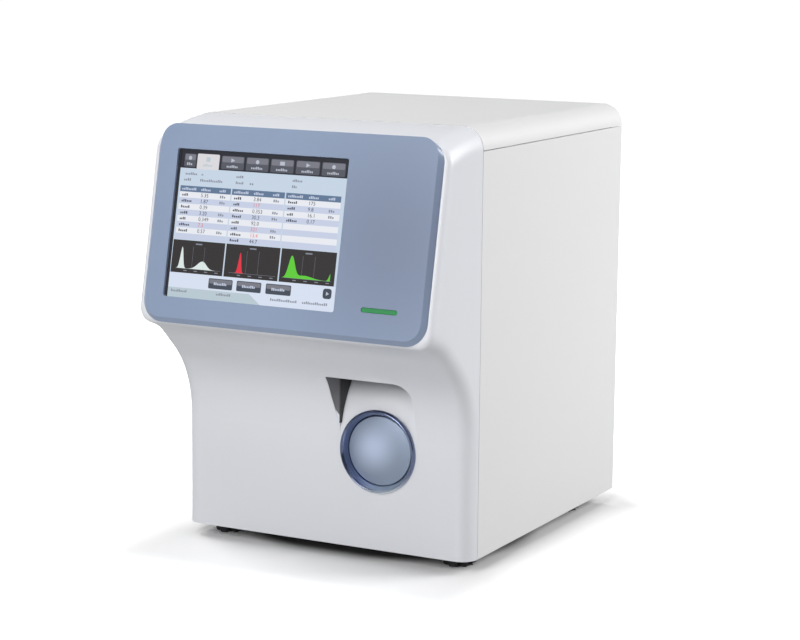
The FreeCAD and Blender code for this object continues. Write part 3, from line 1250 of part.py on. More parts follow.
def probe():
    """Steel sampling probe and the arm that lifts it along the guide rod."""
    y_from, y_to = f"({PROBE_Y} - arm_half_length)", f"({PROBE_Y} + arm_half_length)"
    arm = block("arm_block", f"{GUIDE_X} - 2 * guide_radius", f"{PLATE_X} - arm_gap", y_from, y_to,
                "arm_low", "arm_low + arm_height")
    tall = "arm_height + 2 * overrun"
    holes = [rod("arm_guide", GUIDE_X, PROBE_Y, "arm_low - overrun", "guide_radius + slide_fit",
                 tall),
             rod("arm_nut", LIFT_X, PROBE_Y, "arm_low - overrun", "lift_radius + slide_fit", tall),
             rod("arm_grip", "key_x", PROBE_Y, "arm_low - overrun", "probe_radius", tall)]
    node(cut("arm_cut", arm, *holes), "probe_arm")
    node(turned("needle", [
        ("probe_bore", "0"), ("probe_radius", "2 * probe_radius"),
        ("probe_radius", "probe_top_height - probe_tip_height"),
        ("probe_bore", "probe_top_height - probe_tip_height")],
        "key_x", PROBE_Y, "probe_tip_height"), "sample_probe")


def baths():
    """Two square counting baths with round bores, hung by their collars in one shelf."""
    shelf = block("shelf_form", "key_x - 2 * bath_half", "wall_x",
                  f"{PROBE_Y} + bath_first - 2 * bath_half",
                  f"{PROBE_Y} + bath_first + bath_pitch + 2 * bath_half",
                  "bath_shelf - shelf_thickness", "bath_shelf")
    holes, cups = [], []

    def square(name, y, half, low, high):
        return block(name, f"key_x - {half}", f"key_x + {half}", f"{y} - {half}", f"{y} + {half}",
                     low, high)

    for i in range(2):
        y = f"({PROBE_Y} + bath_first + {i} * bath_pitch)"
        top = "bath_low + bath_height"
        holes.append(square(f"shelf_hole_{i}", y, "(bath_half + bore_fit)", "bath_low", top))
        cup = square(f"bath_{i}", y, "bath_half", "bath_low", top)
        collar = square(f"collar_{i}", y, "(bath_half + collar_lap)", "bath_shelf",
                        "bath_shelf + collar_height")
        drain = hexagon(f"drain_{i}", "key_x", y, "bath_low - drain_length", "drain_radius",
                        "drain_length")
        bore = rod(f"bath_bore_{i}", "key_x", y, "bath_low + bath_floor", "bath_bore",
                   "bath_height")
        cups.append(cut(f"bath_cut_{i}", joined(f"bath_form_{i}", cup, collar, drain), bore))
    node(group("cup_pair", cups), "counting_baths")
    node(cut("shelf_cut", shelf, *holes), "bath_shelf")


def syringes():
    """Two square-bodied metering syringes driven by one crossbar, screw and motor."""
    x, top = "syringe_x", "syringe_block_low"
    first = f"({BULKHEAD} + syringe_front)"
    second = f"({first} + syringe_pitch)"
    mid = f"({first} + syringe_pitch / 2)"
    half = "syringe_block_half"
    head = block("syringe_head", "wall_x + wall_thickness", f"{x} + {half}", f"{first} - {half}",
                 f"{second} + {half}", top, f"{top} + syringe_block_height")
    guide = rod("screw_seat", x, mid, f"{top} - overrun", "screw_line_radius + slide_fit",
                "syringe_block_height + 2 * overrun")
    node(cut("head_cut", head, guide), "syringe_block")
    barrels, pistons = [], []
    for i, y in enumerate((first, second)):
        base = f"({top} - barrel_length)"
        outer = block(f"barrel_{i}", f"{x} - barrel_half", f"{x} + barrel_half",
                      f"{y} - barrel_half", f"{y} + barrel_half", base, top)
        inner = rod(f"barrel_room_{i}", x, y, f"{base} - overrun", "barrel_bore",
                    "barrel_length + 2 * overrun")
        barrels.append(cut(f"barrel_cut_{i}", outer, inner))
        tip = rod(f"piston_{i}", x, y, f"{top} - piston_height - fit_gap",
                  "barrel_bore - piston_fit", "piston_height")
        stem_low = f"({top} - barrel_length - fit_gap - plunger_bar_height * 0.5)"
        stem = rod(f"plunger_stem_{i}", x, y, stem_low, "plunger_radius",
                   f"{top} - piston_height - fit_gap - {stem_low}")
        pistons.append(joined(f"plunger_{i}", tip, stem))
    node(group("barrel_pair", barrels), "syringe_barrels")
    node(group("plunger_pair", pistons), "syringe_plungers")
    bar_high = f"({top} - barrel_length - fit_gap - plunger_bar_height * 0.5)"
    bar = block("bar_form", f"{x} - plunger_bar_half", f"{x} + plunger_bar_half",
                f"{first} - plunger_bar_half", f"{second} + plunger_bar_half",
                f"{bar_high} - plunger_bar_height", bar_high)
    nut = rod("bar_nut", x, mid, f"{bar_high} - plunger_bar_height - overrun",
              "screw_line_radius + slide_fit", "plunger_bar_height + 2 * overrun")
    node(cut("bar_cut", bar, nut), "plunger_crossbar")
    motor_top = f"({FLOOR} + syringe_motor_height)"
    node(rod("syringe_screw_form", x, mid, motor_top, "screw_line_radius",
             f"{top} + syringe_block_height - {motor_top}"), "syringe_screw")
    side = "syringe_motor_size / 2"
    node(eight_sided("syringe_drive", f"{x} - {side}", f"{x} + {side}", f"{mid} - {side}",
                     f"{mid} + {side}", FLOOR, motor_top,
                     "syringe_motor_size * motor_corner_share"), "syringe_motor")


def valves():
    """Valve manifold on the fluidics plate with its row of solenoid valves."""
    left = "(wall_x + wall_thickness)"
    front = f"({BULKHEAD} + manifold_front)"
    rear = f"({front} + manifold_length)"
    high = "(manifold_low + manifold_height)"
    node(block("manifold_form", left, f"{left} + manifold_depth", front, rear, "manifold_low",
               high), "valve_manifold")
    cans = []
    count = int(SIZES["valve_count"])
    for i in range(count):
        y = f"({front} + manifold_length * {2 * i + 1} / {2 * count})"
        cans.append(block(f"valve_{i + 1}", f"{left} + manifold_depth / 2 - valve_width / 2",
                          f"{left} + manifold_depth / 2 + valve_width / 2",
                          f"{y} - valve_width / 2", f"{y} + valve_width / 2", high,
                          f"{high} + valve_height"))
    node(group("valve_row", cans), "solenoid_valves")


def pumps():
    """Waste chamber and two diaphragm pumps on the base tray."""
    rear = f"({REAR_INNER} - chamber_rear)"
    node(rod("chamber_form", "chamber_x", rear, FLOOR, "chamber_radius", "chamber_height"),
         "waste_chamber")
    pair = []
    for i in range(2):
        y = f"({REAR_INNER} - pump_rear - {i} * pump_pitch)"
        low = f"({FLOOR} + pump_foot + pump_radius)"
        can = rod(f"pump_can_{i}", "pump_x - pump_length + pump_head", y, low, "pump_radius",
                  "pump_length", "x")
        head = block(f"pump_head_{i}", "pump_x - pump_length", "pump_x - pump_length + pump_head",
                     f"{y} - pump_radius", f"{y} + pump_radius", FLOOR, f"{low} + pump_radius")
        foot = block(f"pump_base_{i}", "pump_x - pump_length + pump_head", "pump_x",
                     f"{y} - pump_radius / 2", f"{y} + pump_radius / 2", FLOOR, low)
        pair.append(joined(f"pump_{i}", can, head, foot))
    node(group("pump_pair", pair), "fluid_pumps")


def electronics():
    """Power supply on the tray and the main board on the partition."""
    rear = f"({REAR_INNER} - supply_back)"
    fore = f"({BAY_REAR} + supply_front_gap)"
    case = block("supply_case", "-supply_left", "-supply_right", fore, rear,
                 f"{FLOOR} + supply_gap", f"{FLOOR} + supply_gap + supply_height")
    feet = []
    for i, x in enumerate(("-supply_left + standoff_inset", "-supply_right - standoff_inset")):
        for j, y in enumerate((f"{fore} + standoff_inset", f"{rear} - standoff_inset")):
            feet.append(hexagon(f"supply_foot_{i}{j}", x, y, FLOOR, "standoff_radius",
                                "supply_gap"))
    node(joined("supply_form", case, *feet), "power_supply")
    face = "(-partition_x - sheet_wall)"
    back = f"({face} - board_standoff)"
    front = f"({BULKHEAD} + main_front)"
    length = f"({REAR_INNER} - partition_rear - main_rear - {front})"
    board = block("main_form", f"{back} - main_thickness", back, front, f"{front} + {length}",
                  "board_low", "board_high")
    parts = [board]
    for i, y in enumerate((f"{front} + standoff_inset", f"{front} + {length} - standoff_inset")):
        for j, z in enumerate(("board_low + standoff_inset",
                               "board_low + board_tall - standoff_inset")):
            parts.append(hexagon(f"main_post_{i}{j}", back, y, z, "standoff_radius",
                                 "board_standoff", "x"))
    for i, (share_y, share_z, size) in enumerate(CHIP_SHARES):
        y, z = f"({front} + {length} * {share_y})", f"(board_low + board_tall * {share_z})"
        parts.append(block(f"chip_{i}", f"{back} - main_thickness - chip_height",
                           f"{back} - main_thickness", y, f"{y} + board_tall * {size}", z,
                           f"{z} + board_tall * {size}"))
    node(joined("main_whole", *parts), "main_board")


def check_document():
    """Stop if any object failed or any sub-part is empty or not a valid solid."""
    doc.recompute()
    failed = [item.Name for item in doc.Objects
              if "Invalid" in item.State or "Error" in item.State]
    empty = [item.Label for item in nodes
             if item.Shape.isNull() or not item.Shape.isValid() or not item.Shape.Solids]
    if failed or empty:
        raise ValueError(f"did not compute: {failed}; no valid solid: {empty}")


def export():
    """Write one STEP file for each sub-part."""
    os.makedirs("parts", exist_ok=True)
    for item in nodes:
        item.Shape.exportStep(f"parts/{item.Label}.step")
        print(f"{item.Label}: {len(item.Shape.Solids)} solid(s)")


fill_sheet()
front_cover()
display_bezel()
display_stack()
status_light_bar()
key_parts()
probe_bay_liner()
top_cover()
node(side_panel("right_form", INSIDE, HALF), "right_side_panel")
left_side()
reagent_bay()
chassis()
rear_panel()
fan()
power_entry()
data_sockets()
hose_ports()
screws()
probe_wall()
probe_drive()
carriage()
probe()
baths()
syringes()
valves()
pumps()
electronics()
check_document()
export()
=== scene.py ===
# %% [markdown]
# A bench blood cell counter, dressed for its photograph. The solids come from the packed
# frame: every casing, motor and rod is already there, in metres, at its real place. This
# notebook adds what a solid modeller leaves out: finishes, light, the picture on the screen
# and the small soft edges that catch the eye.

# %% Load the frame
import bmesh
import bpy
import json
import math
import numpy as np
from mathutils import Matrix, Vector


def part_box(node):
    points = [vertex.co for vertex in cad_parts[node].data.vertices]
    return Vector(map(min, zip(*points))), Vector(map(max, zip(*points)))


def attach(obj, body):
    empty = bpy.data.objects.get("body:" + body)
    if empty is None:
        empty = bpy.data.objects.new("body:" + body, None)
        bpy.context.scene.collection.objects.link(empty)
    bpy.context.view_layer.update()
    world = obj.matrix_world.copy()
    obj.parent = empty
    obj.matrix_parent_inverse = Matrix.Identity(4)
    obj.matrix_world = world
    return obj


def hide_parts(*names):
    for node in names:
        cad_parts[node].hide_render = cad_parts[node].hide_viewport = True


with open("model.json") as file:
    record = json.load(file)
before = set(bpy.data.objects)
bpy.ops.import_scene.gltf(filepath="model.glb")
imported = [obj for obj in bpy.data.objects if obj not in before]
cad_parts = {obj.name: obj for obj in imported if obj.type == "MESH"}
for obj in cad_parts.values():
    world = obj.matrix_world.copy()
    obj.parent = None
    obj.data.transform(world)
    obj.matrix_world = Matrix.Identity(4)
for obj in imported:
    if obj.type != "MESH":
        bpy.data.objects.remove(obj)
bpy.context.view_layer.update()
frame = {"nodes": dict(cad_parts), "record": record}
NODES = frame["nodes"]

# %% [markdown]
# The camera stands where the photographer stood: about two metres off, to the right of the
# nose and a little above it. A long lens keeps the verticals nearly parallel, as they are in
# the picture. Its three directions were solved from the straight edges of the casing.

# %% Camera
PHOTO_WIDTH = 800
FOCAL_PIXELS = 2315.8
SENSOR = 36.0
CLIP_NEAR, CLIP_FAR = 0.05, 50.0
EYE = Vector((1.0286, -1.9150, 0.5728))
AHEAD = Vector((-0.46190, 0.87078, -0.16851))
RIGHT = Vector((0.88265, 0.46994, 0.00900))
UP = Vector((-0.08703, 0.14458, 0.98566))


def add_object(name, data):
    """A new object in the scene, from its data."""
    item = bpy.data.objects.new(name, data)
    bpy.context.scene.collection.objects.link(item)
    return item


def add_camera():
    """A camera at the eye point, looking along AHEAD."""
    data = bpy.data.cameras.new("photo_camera")
    data.sensor_width = SENSOR
    data.lens = FOCAL_PIXELS * SENSOR / PHOTO_WIDTH
    data.clip_start, data.clip_end = CLIP_NEAR, CLIP_FAR
    camera = add_object("photo_camera", data)
    turn = Matrix((RIGHT, UP, -AHEAD)).transposed()
    camera.matrix_world = Matrix.Translation(EYE) @ turn.to_4x4()
    bpy.context.scene.camera = camera
    print("camera: lens", round(data.lens, 1), "mm")


add_camera()

# %% [markdown]
# The studio is a white table under wide soft lamps: one before the nose, one behind the right
# shoulder, one to the left and a weaker one overhead. The front, the side and the lid are
# bright, while the rounded corner between front and side faces none of them and falls darker.
# A weak low lamp looks into the pocket under its ceiling. None stands where the leaning screen
# would mirror it into the camera. The room looks white but gives almost no light of its own.

# %% Studio
LAMPS = (
    # name, turn from straight ahead in degrees, height in degrees, watts
    ("front_lamp", 0.0, 27.0, 37.0),
    ("right_lamp", 125.0, 23.0, 60.0),
    ("left_lamp", -105.0, 35.0, 36.0),
    ("top_lamp", -15.0, 74.0, 22.0),
    ("low_lamp", 10.0, 8.0, 8.0),
)
LAMP_DISTANCE, LAMP_SIZE = 2.6, 1.3
AIM = Vector((0.0, 0.0, 0.2))
ROOM_SEEN, ROOM_LIGHT = 1.05, 0.03


def lamp_place(turn, height):
    """A point on a ball round AIM: turn is counted from -Y towards +X, height from level."""
    turn, height = math.radians(turn), math.radians(height)
    level = LAMP_DISTANCE * math.cos(height)
    return AIM + Vector((level * math.sin(turn), -level * math.cos(turn),
                         LAMP_DISTANCE * math.sin(height)))


def add_lamps():
    """Square area lamps that all face the middle of the object."""
    for name, turn, height, power in LAMPS:
        data = bpy.data.lights.new(name, "AREA")
        data.shape = "SQUARE"
        data.size = LAMP_SIZE
        data.energy = power
        place = lamp_place(turn, height)
        look = (AIM - place).to_track_quat("-Z", "Y")
        lamp = add_object(name, data)
        lamp.matrix_world = Matrix.Translation(place) @ look.to_matrix().to_4x4()


def add_world():
    """White surroundings: bright where they are seen, dimmer as a light."""
    world = bpy.data.worlds.new("white_room")
    world.use_nodes = True
    tree = world.node_tree
    back = tree.nodes["Background"]
    back.inputs["Color"].default_value = (1.0, 1.0, 1.0, 1.0)
    path = tree.nodes.new("ShaderNodeLightPath")
    strength = tree.nodes.new("ShaderNodeMix")
    strength.inputs["A"].default_value = ROOM_LIGHT
    strength.inputs["B"].default_value = ROOM_SEEN
    tree.links.new(path.outputs["Is Camera Ray"], strength.inputs["Factor"])
    tree.links.new(strength.outputs["Result"], back.inputs["Strength"])
    bpy.context.scene.world = world
    bpy.context.scene.view_settings.view_transform = "Standard"


add_lamps()
add_world()
print("studio:", len(LAMPS), "lamps")

# %% [markdown]
# Every new piece is a surface worked out as one numpy array of points and one of faces. The
# helpers turn such arrays into an object, join neighbouring points of a grid into four-sided
# faces, and say what a finished piece is made of, what it moves with and what it stands for.

# %% Mesh helpers
SMOOTH_ANGLE = math.radians(35)
FLOOR_HALF, FLOOR_POINTS = 6.0, 3


def make_object(name, points, faces, smooth=True):
    """A mesh object at the origin from an array of points and a list or array of faces."""
    mesh = bpy.data.meshes.new(name)
    mesh.from_pydata(np.asarray(points).tolist(), [], [list(f) for f in faces])
    mesh.update()
    if smooth:
        mesh.shade_smooth()
        mesh.set_sharp_from_angle(angle=SMOOTH_ANGLE)
    return add_object(name, mesh)


def grid_faces(rows, columns, closed=False):
    """Faces of a grid of points: each joins a point, the next in its row and the two above.

    In a closed grid the last row is joined to the first.
    """
    last_row = rows if closed else rows - 1
    row, column = np.meshgrid(np.arange(last_row), np.arange(columns - 1), indexing="ij")
    here, above = row * columns + column, (row + 1) % rows * columns + column
    return np.stack((here, here + 1, above + 1, above), axis=-1).reshape(-1, 4)


def finish_piece(item, body, slot, material, *nodes):
    """Give a piece its material and its body, and hide the nodes it stands for; slot is not used.
    """
    item.data.materials.append(material)
    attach(item, body)
    if nodes:
        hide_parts(*nodes)
    return item


def add_floor():
    """A white table much larger than the view."""
    edge = np.linspace(-FLOOR_HALF, FLOOR_HALF, FLOOR_POINTS)
    x, y = np.meshgrid(edge, edge, indexing="ij")
    points = np.stack([x, y, np.zeros_like(x)], axis=-1).reshape(-1, 3)
    faces = grid_faces(FLOOR_POINTS, FLOOR_POINTS)[:, ::-1]
    item = make_object("table_top", points, faces, smooth=False)
    return item


table_top = add_floor()
print("table:", 2 * FLOOR_HALF, "m wide")

# %% [markdown]
# Materials are networks of nodes. Each helper adds one kind of node and joins its inputs.

# %% Node helpers
MIX_FIRST, MIX_SECOND, MIX_RESULT = 6, 7, 2  # where a mix node keeps its colours


def feed(tree, socket, value):
    """Give a socket a number, a colour of three numbers, or a link from another socket."""
    if isinstance(value, (int, float)):
        socket.default_value = value
    elif isinstance(value, tuple):
        socket.default_value = (*value, 1.0)
    else:
        tree.links.new(value, socket)


def object_place(tree):
    """The point that is shaded, in the object's own coordinates."""
    return tree.nodes.new("ShaderNodeTexCoord").outputs["Object"]


def vector_step(tree, operation, first, second=None):
    """A vector operation on a socket and, where it takes two, a socket or three numbers."""
    node = tree.nodes.new("ShaderNodeVectorMath")
    node.operation = operation
    tree.links.new(first, node.inputs[0])
    if isinstance(second, tuple):
        node.inputs[1].default_value = second
    elif second is not None:
        tree.links.new(second, node.inputs[1])
    return node


def ramp(tree, value, span, ends, smooth=True):
    """A value that runs from one end to the other while its input runs over a span."""
    node = tree.nodes.new("ShaderNodeMapRange")
    if smooth:
        node.interpolation_type = "SMOOTHSTEP"
    labels = ("From Min", "From Max", "To Min", "To Max")
    for label, number in zip(labels, (*span, *ends)):
        node.inputs[label].default_value = number
    tree.links.new(value, node.inputs["Value"])
    return node.outputs["Result"]


def mix_number(tree, factor, low, high):
    """A number between two, by a factor; each may be a number or a socket."""
    node = tree.nodes.new("ShaderNodeMix")
    for slot, value in (("Factor", factor), ("A", low), ("B", high)):
        feed(tree, node.inputs[slot], value)
    return node.outputs["Result"]


def mix_colour(tree, factor, first, second):
    """A colour between two; each is a socket or three numbers."""
    node = tree.nodes.new("ShaderNodeMix")
    node.data_type = "RGBA"
    for slot, value in (("Factor", factor), (MIX_FIRST, first), (MIX_SECOND, second)):
        feed(tree, node.inputs[slot], value)
    return node.outputs[MIX_RESULT]


def noise(tree, scale, detail):
    """Noise over the object; the scale may be a number or a socket."""
    node = tree.nodes.new("ShaderNodeTexNoise")
    node.inputs["Detail"].default_value = detail
    tree.links.new(object_place(tree), node.inputs["Vector"])
    feed(tree, node.inputs["Scale"], scale)
    return node.outputs["Fac"]


print("mix node colours at", MIX_FIRST, MIX_SECOND)

# %% [markdown]
# Real plastic and lacquer are never one flat colour. Three small effects do most of the work,
# and each is a node group used by many materials. Grain is the fine dimpled texture of a
# mould or a powder coat. Drift is a slow change of tone and gloss, from uneven thickness and
# handling. Rubbed edges change the tone of the corners that hands and cloths touch.

# %% Shader groups
PATCH_SCALE, MEAN_HEIGHT = 60.0, 0.5
BEVEL_SAMPLES = 4
RUB_SPAN = (0.995, 0.90)


def new_group(name, inputs, outputs):
    """A shader node group of numbers: inputs by name with their defaults, outputs by name."""
    tree = bpy.data.node_groups.new(name, "ShaderNodeTree")
    for label, value in inputs.items():
        socket = tree.interface.new_socket(label, in_out="INPUT", socket_type="NodeSocketFloat")
        socket.default_value = value
    for label in outputs:
        tree.interface.new_socket(label, in_out="OUTPUT", socket_type="NodeSocketFloat")
    return tree, tree.nodes.new("NodeGroupInput"), tree.nodes.new("NodeGroupOutput")


def grain_group():
    """Fine dimples: noise at a given scale, and a coarser one that varies its strength."""
    tree, start, end = new_group("moulded_grain", {"Scale": 2500.0}, ("Height",))
    fine = noise(tree, start.outputs["Scale"], 2.0)
    coarse = noise(tree, PATCH_SCALE, 1.0)
    tree.links.new(mix_number(tree, coarse, fine, MEAN_HEIGHT), end.inputs["Height"])
    return tree


def drift_group():
    """A slow change over the surface: wide noise, and a value that it moves between two."""
    tree, start, end = new_group("slow_drift", {"Scale": 9.0, "Low": 0.3, "High": 0.4},
                                 ("Value", "Mask"))
    wave = noise(tree, start.outputs["Scale"], 3.0)
    value = mix_number(tree, wave, start.outputs["Low"], start.outputs["High"])
    tree.links.new(value, end.inputs["Value"])
    tree.links.new(wave, end.inputs["Mask"])
    return tree


def rubbed_group():
    """Where a surface turns sharply: the gap between its normal and a bevelled one."""
    tree, start, end = new_group("rubbed_edges", {"Width": 0.0012}, ("Mask",))
    round_off = tree.nodes.new("ShaderNodeBevel")
    round_off.samples = BEVEL_SAMPLES
    tree.links.new(start.outputs["Width"], round_off.inputs["Radius"])
    own = tree.nodes.new("ShaderNodeNewGeometry")
    near = vector_step(tree, "DOT_PRODUCT", round_off.outputs["Normal"], own.outputs["Normal"])
    mask = ramp(tree, near.outputs["Value"], RUB_SPAN, (0.0, 1.0), smooth=False)
    tree.links.new(mask, end.inputs["Mask"])
    return tree


GRAIN, DRIFT, RUBBED = grain_group(), drift_group(), rubbed_group()
print("groups:", GRAIN.name, DRIFT.name, RUBBED.name)

# %% [markdown]
# One function makes every finish from a short recipe: two close colours that the drift mixes,
# a range of roughness, the scale and depth of the grain, and how far the edges are rubbed. A
# metal and a plastic differ only in their numbers, which keeps the whole set in one light.

# %% One finish
DISPLAY_BODY = (0.012, 0.012, 0.014)
BUMP_TALL = 0.0002


def place_group(tree, group, **values):
    """A group node in a material with its inputs set."""
    node = tree.nodes.new("ShaderNodeGroup")
    node.node_tree = group
    for label, value in values.items():
        node.inputs[label].default_value = value
    return node


def painted_spot_mask(tree, centre, radius):
    """One at a centre, falling smoothly to nothing at a radius, by distance in the object."""
    away = vector_step(tree, "DISTANCE", object_place(tree), centre)
    return ramp(tree, away.outputs["Value"], (0.0, radius), (1.0, 0.0))


def finish(name, colour, shade, rough, grain, depth, drift=9.0, rubbed=None, metal=0.0,
           coat=0.0, coat_rough=0.05, see_through=0.0, glow=None, lit=None, spot=None):
    """A material from a recipe: colour drifts to shade, and rough is (low, high).

    With glow the surface also gives its own colour as light. With lit it gives nothing else:
    it is a near black body, as a display is, and all its colour comes from behind. Rubbed is
    (width, colour) for the edges. A spot is painted light and shade, given as (centre,
    radius, colour): the finish turns to that colour towards the centre.
    """
    material = bpy.data.materials.new(name)
    material.use_nodes = True
    tree = material.node_tree
    shader = tree.nodes["Principled BSDF"]
    slow = place_group(tree, DRIFT, Scale=drift, Low=rough[0], High=rough[1])
    tone = mix_colour(tree, slow.outputs["Mask"], colour, shade)
    # Painted light and shade: the spot turns the colour to a lighter or darker tone about a
    # centre.
    if spot:
        centre, radius, painted_colour = spot
        tone = mix_colour(tree, painted_spot_mask(tree, centre, radius), tone, painted_colour)
    if rubbed:
        width, edge_colour = rubbed
        edge = place_group(tree, RUBBED, Width=width)
        tone = mix_colour(tree, edge.outputs["Mask"], tone, edge_colour)
    feed(tree, shader.inputs["Base Color"], tone if lit is None else DISPLAY_BODY)
    tree.links.new(slow.outputs["Value"], shader.inputs["Roughness"])
    fine = place_group(tree, GRAIN, Scale=grain)
    bump = tree.nodes.new("ShaderNodeBump")
    bump.inputs["Strength"].default_value = depth
    bump.inputs["Distance"].default_value = BUMP_TALL
    tree.links.new(fine.outputs["Height"], bump.inputs["Height"])
    tree.links.new(bump.outputs["Normal"], shader.inputs["Normal"])
    for label, value in (("Metallic", metal), ("Coat Weight", coat),
                         ("Coat Roughness", coat_rough), ("Transmission Weight", see_through)):
        shader.inputs[label].default_value = value
    own_light = glow if lit is None else lit
    if own_light is not None:
        tree.links.new(tone, shader.inputs["Emission Color"])
        shader.inputs["Emission Strength"].default_value = own_light
    return material


print("grain depth at full strength:", BUMP_TALL * 1000, "mm")

# %% [markdown]
# There is a recipe for each slot of the record and one for the sheet of painted shade in the
# pocket. Four finishes have a soft spot of painted light and shade: painted light at the back of
# the pocket, painted shade at the right of the bezel, and painted highlights on the key and at
# the lower right of its ring.

# %% Finishes
WHITE = (0.745, 0.76, 0.80)
PANEL = (0.77, 0.77, 0.775)
BLUE = (0.28, 0.355, 0.505)
BLACK = (0.02, 0.02, 0.023)
STEEL = (0.56, 0.57, 0.58)
# Painted light: the cover turns near white at the back of the pocket, where its ceiling shades
# it.
POCKET_PAINTED_LIGHT = ((0.062, -0.122, 0.160), 0.036, (0.95, 0.95, 0.98))
# Painted shade: the bezel's blue darkens towards its right, in place of a darker reflection
# there.
BEZEL_PAINTED_SHADE = ((0.105, -0.20, 0.31), 0.15, (0.205, 0.25, 0.355))
# Painted highlight: the ring's metal turns pale blue at its lower right.
RING_PAINTED_HIGHLIGHT = ((0.066, -0.129, 0.073), 0.032, (0.80, 0.90, 1.0))
# Painted highlight: the key cap's satin turns paler about its middle.
KEY_PAINTED_HIGHLIGHT = ((0.050, -0.125, 0.107), 0.030, (0.60, 0.70, 0.90))
RECIPES = {
    # name: colour, second colour, roughness from and to, scale and depth of the grain, the rest
    "cover_white": (WHITE, (0.735, 0.75, 0.785), (0.36, 0.44), 2600.0, 0.10,
                    dict(spot=POCKET_PAINTED_LIGHT)),
    "bezel_blue": (BLUE, (0.255, 0.322, 0.455), (0.34, 0.40), 3800.0, 0.05,
                   dict(coat=0.25, coat_rough=0.25, spot=BEZEL_PAINTED_SHADE)),
    "screen_glass": ((0.02, 0.02, 0.025), (0.03, 0.03, 0.035), (0.05, 0.09), 900.0, 0.005,
                     dict(coat=1.0, coat_rough=0.03)),
    "dark_plastic": (BLACK, (0.035, 0.035, 0.04), (0.45, 0.6), 3000.0, 0.2,
                     dict(rubbed=(0.0008, (0.08, 0.08, 0.085)))),
    "board_green": ((0.02, 0.12, 0.05), (0.03, 0.16, 0.07), (0.3, 0.42), 400.0, 0.1,
                    dict(drift=120.0)),
    "light_green": ((0.045, 0.235, 0.085), (0.05, 0.27, 0.10), (0.2, 0.28), 1800.0, 0.03,
                    dict(coat=0.5, glow=0.2)),
    # Painted shade: a dark grey for the sheet laid where the pocket's left wall is in shade.
    "pocket_shade_grey": ((0.13, 0.13, 0.14), (0.15, 0.15, 0.16), (0.5, 0.6), 2200.0, 0.15, {}),
    "blue_metal": ((0.145, 0.18, 0.31), (0.16, 0.20, 0.34), (0.16, 0.22), 5000.0, 0.02,
                   dict(metal=0.85, coat=0.8, spot=RING_PAINTED_HIGHLIGHT)),
    "key_satin": ((0.29, 0.35, 0.46), (0.31, 0.37, 0.48), (0.42, 0.48), 4200.0, 0.04,
                  dict(metal=0.55, spot=KEY_PAINTED_HIGHLIGHT)),
    "panel_white": (PANEL, (0.75, 0.75, 0.755), (0.42, 0.52), 1500.0, 0.12, {}),
    "steel_sheet": (STEEL, (0.48, 0.49, 0.50), (0.3, 0.5), 700.0, 0.08,
                    dict(drift=30.0, metal=1.0)),
    "steel_bright": ((0.66, 0.66, 0.67), (0.58, 0.58, 0.6), (0.16, 0.3), 1600.0, 0.04,
                     dict(drift=60.0, metal=1.0)),
    "alu": ((0.70, 0.71, 0.72), (0.62, 0.63, 0.65), (0.3, 0.42), 1200.0, 0.08,
            dict(drift=40.0, metal=1.0)),
    "motor_black": ((0.03, 0.03, 0.033), (0.05, 0.05, 0.055), (0.4, 0.55), 1500.0, 0.15,
                    dict(rubbed=(0.001, (0.25, 0.25, 0.26)))),
    "grey_plastic": ((0.25, 0.26, 0.28), (0.30, 0.31, 0.33), (0.5, 0.62), 2400.0, 0.2,
                     dict(rubbed=(0.001, (0.4, 0.41, 0.43)))),
    "foot_rubber": ((0.02, 0.02, 0.02), (0.04, 0.04, 0.042), (0.7, 0.85), 1800.0, 0.35, {}),
    "clear_plastic": ((0.80, 0.84, 0.86), (0.74, 0.80, 0.84), (0.08, 0.16), 900.0, 0.02,
                      dict(see_through=0.85)),
    "white_plastic": ((0.75, 0.75, 0.73), (0.68, 0.68, 0.66), (0.4, 0.5), 2000.0, 0.12,
                      dict(rubbed=(0.0008, (0.82, 0.82, 0.81)))),
}
F = {name: finish(name, *recipe, **extra) for name, (*recipe, extra) in RECIPES.items()}
print("finishes:", len(F))

# %% [markdown]
# The table is white card. Right under the object, where the light can't get in, a shadow is
# painted into its colour, and away from the object it glows a little, so that it runs into the
# white room without an edge. The camera sees all that, while the object sees a plain half grey
# table.

# %% Table finish
TABLE_TONES = (0.93, 0.93, 0.93), (0.91, 0.91, 0.91)
TABLE_ROUGH, TABLE_GRAIN, TABLE_DEPTH = (0.6, 0.7), 300.0, 0.02
# Painted shadow: a box under the object, how far the darkening reaches, and its tone.
PAINTED_SHADOW_BOX, PAINTED_SHADOW_REACH, PAINTED_SHADOW_TONE = (0.026, 0.0, 0.0), (0.098, 0.126), (0.10, 0.10, 0.10)
FOOTPRINT, WHITE_REACH = (0.150, 0.190, 0.0), (0.0, 0.12)
TABLE_BOUNCE, TABLE_GLOW = (0.50, 0.50, 0.50), 1.0


def outside_box(tree, corner, reach, ends):
    """A value that changes smoothly with the distance outside a box centred on the object.

    The distance is the length of the positive part of (|x|, |y|) less the box's half sizes.
    """
    place = object_place(tree)
    for operation, value in (("ABSOLUTE", None), ("SUBTRACT", corner), ("MAXIMUM", (0, 0, 0))):
        place = vector_step(tree, operation, place, value).outputs["Vector"]
    away = vector_step(tree, "LENGTH", place)
    return ramp(tree, away.outputs["Value"], reach, ends)


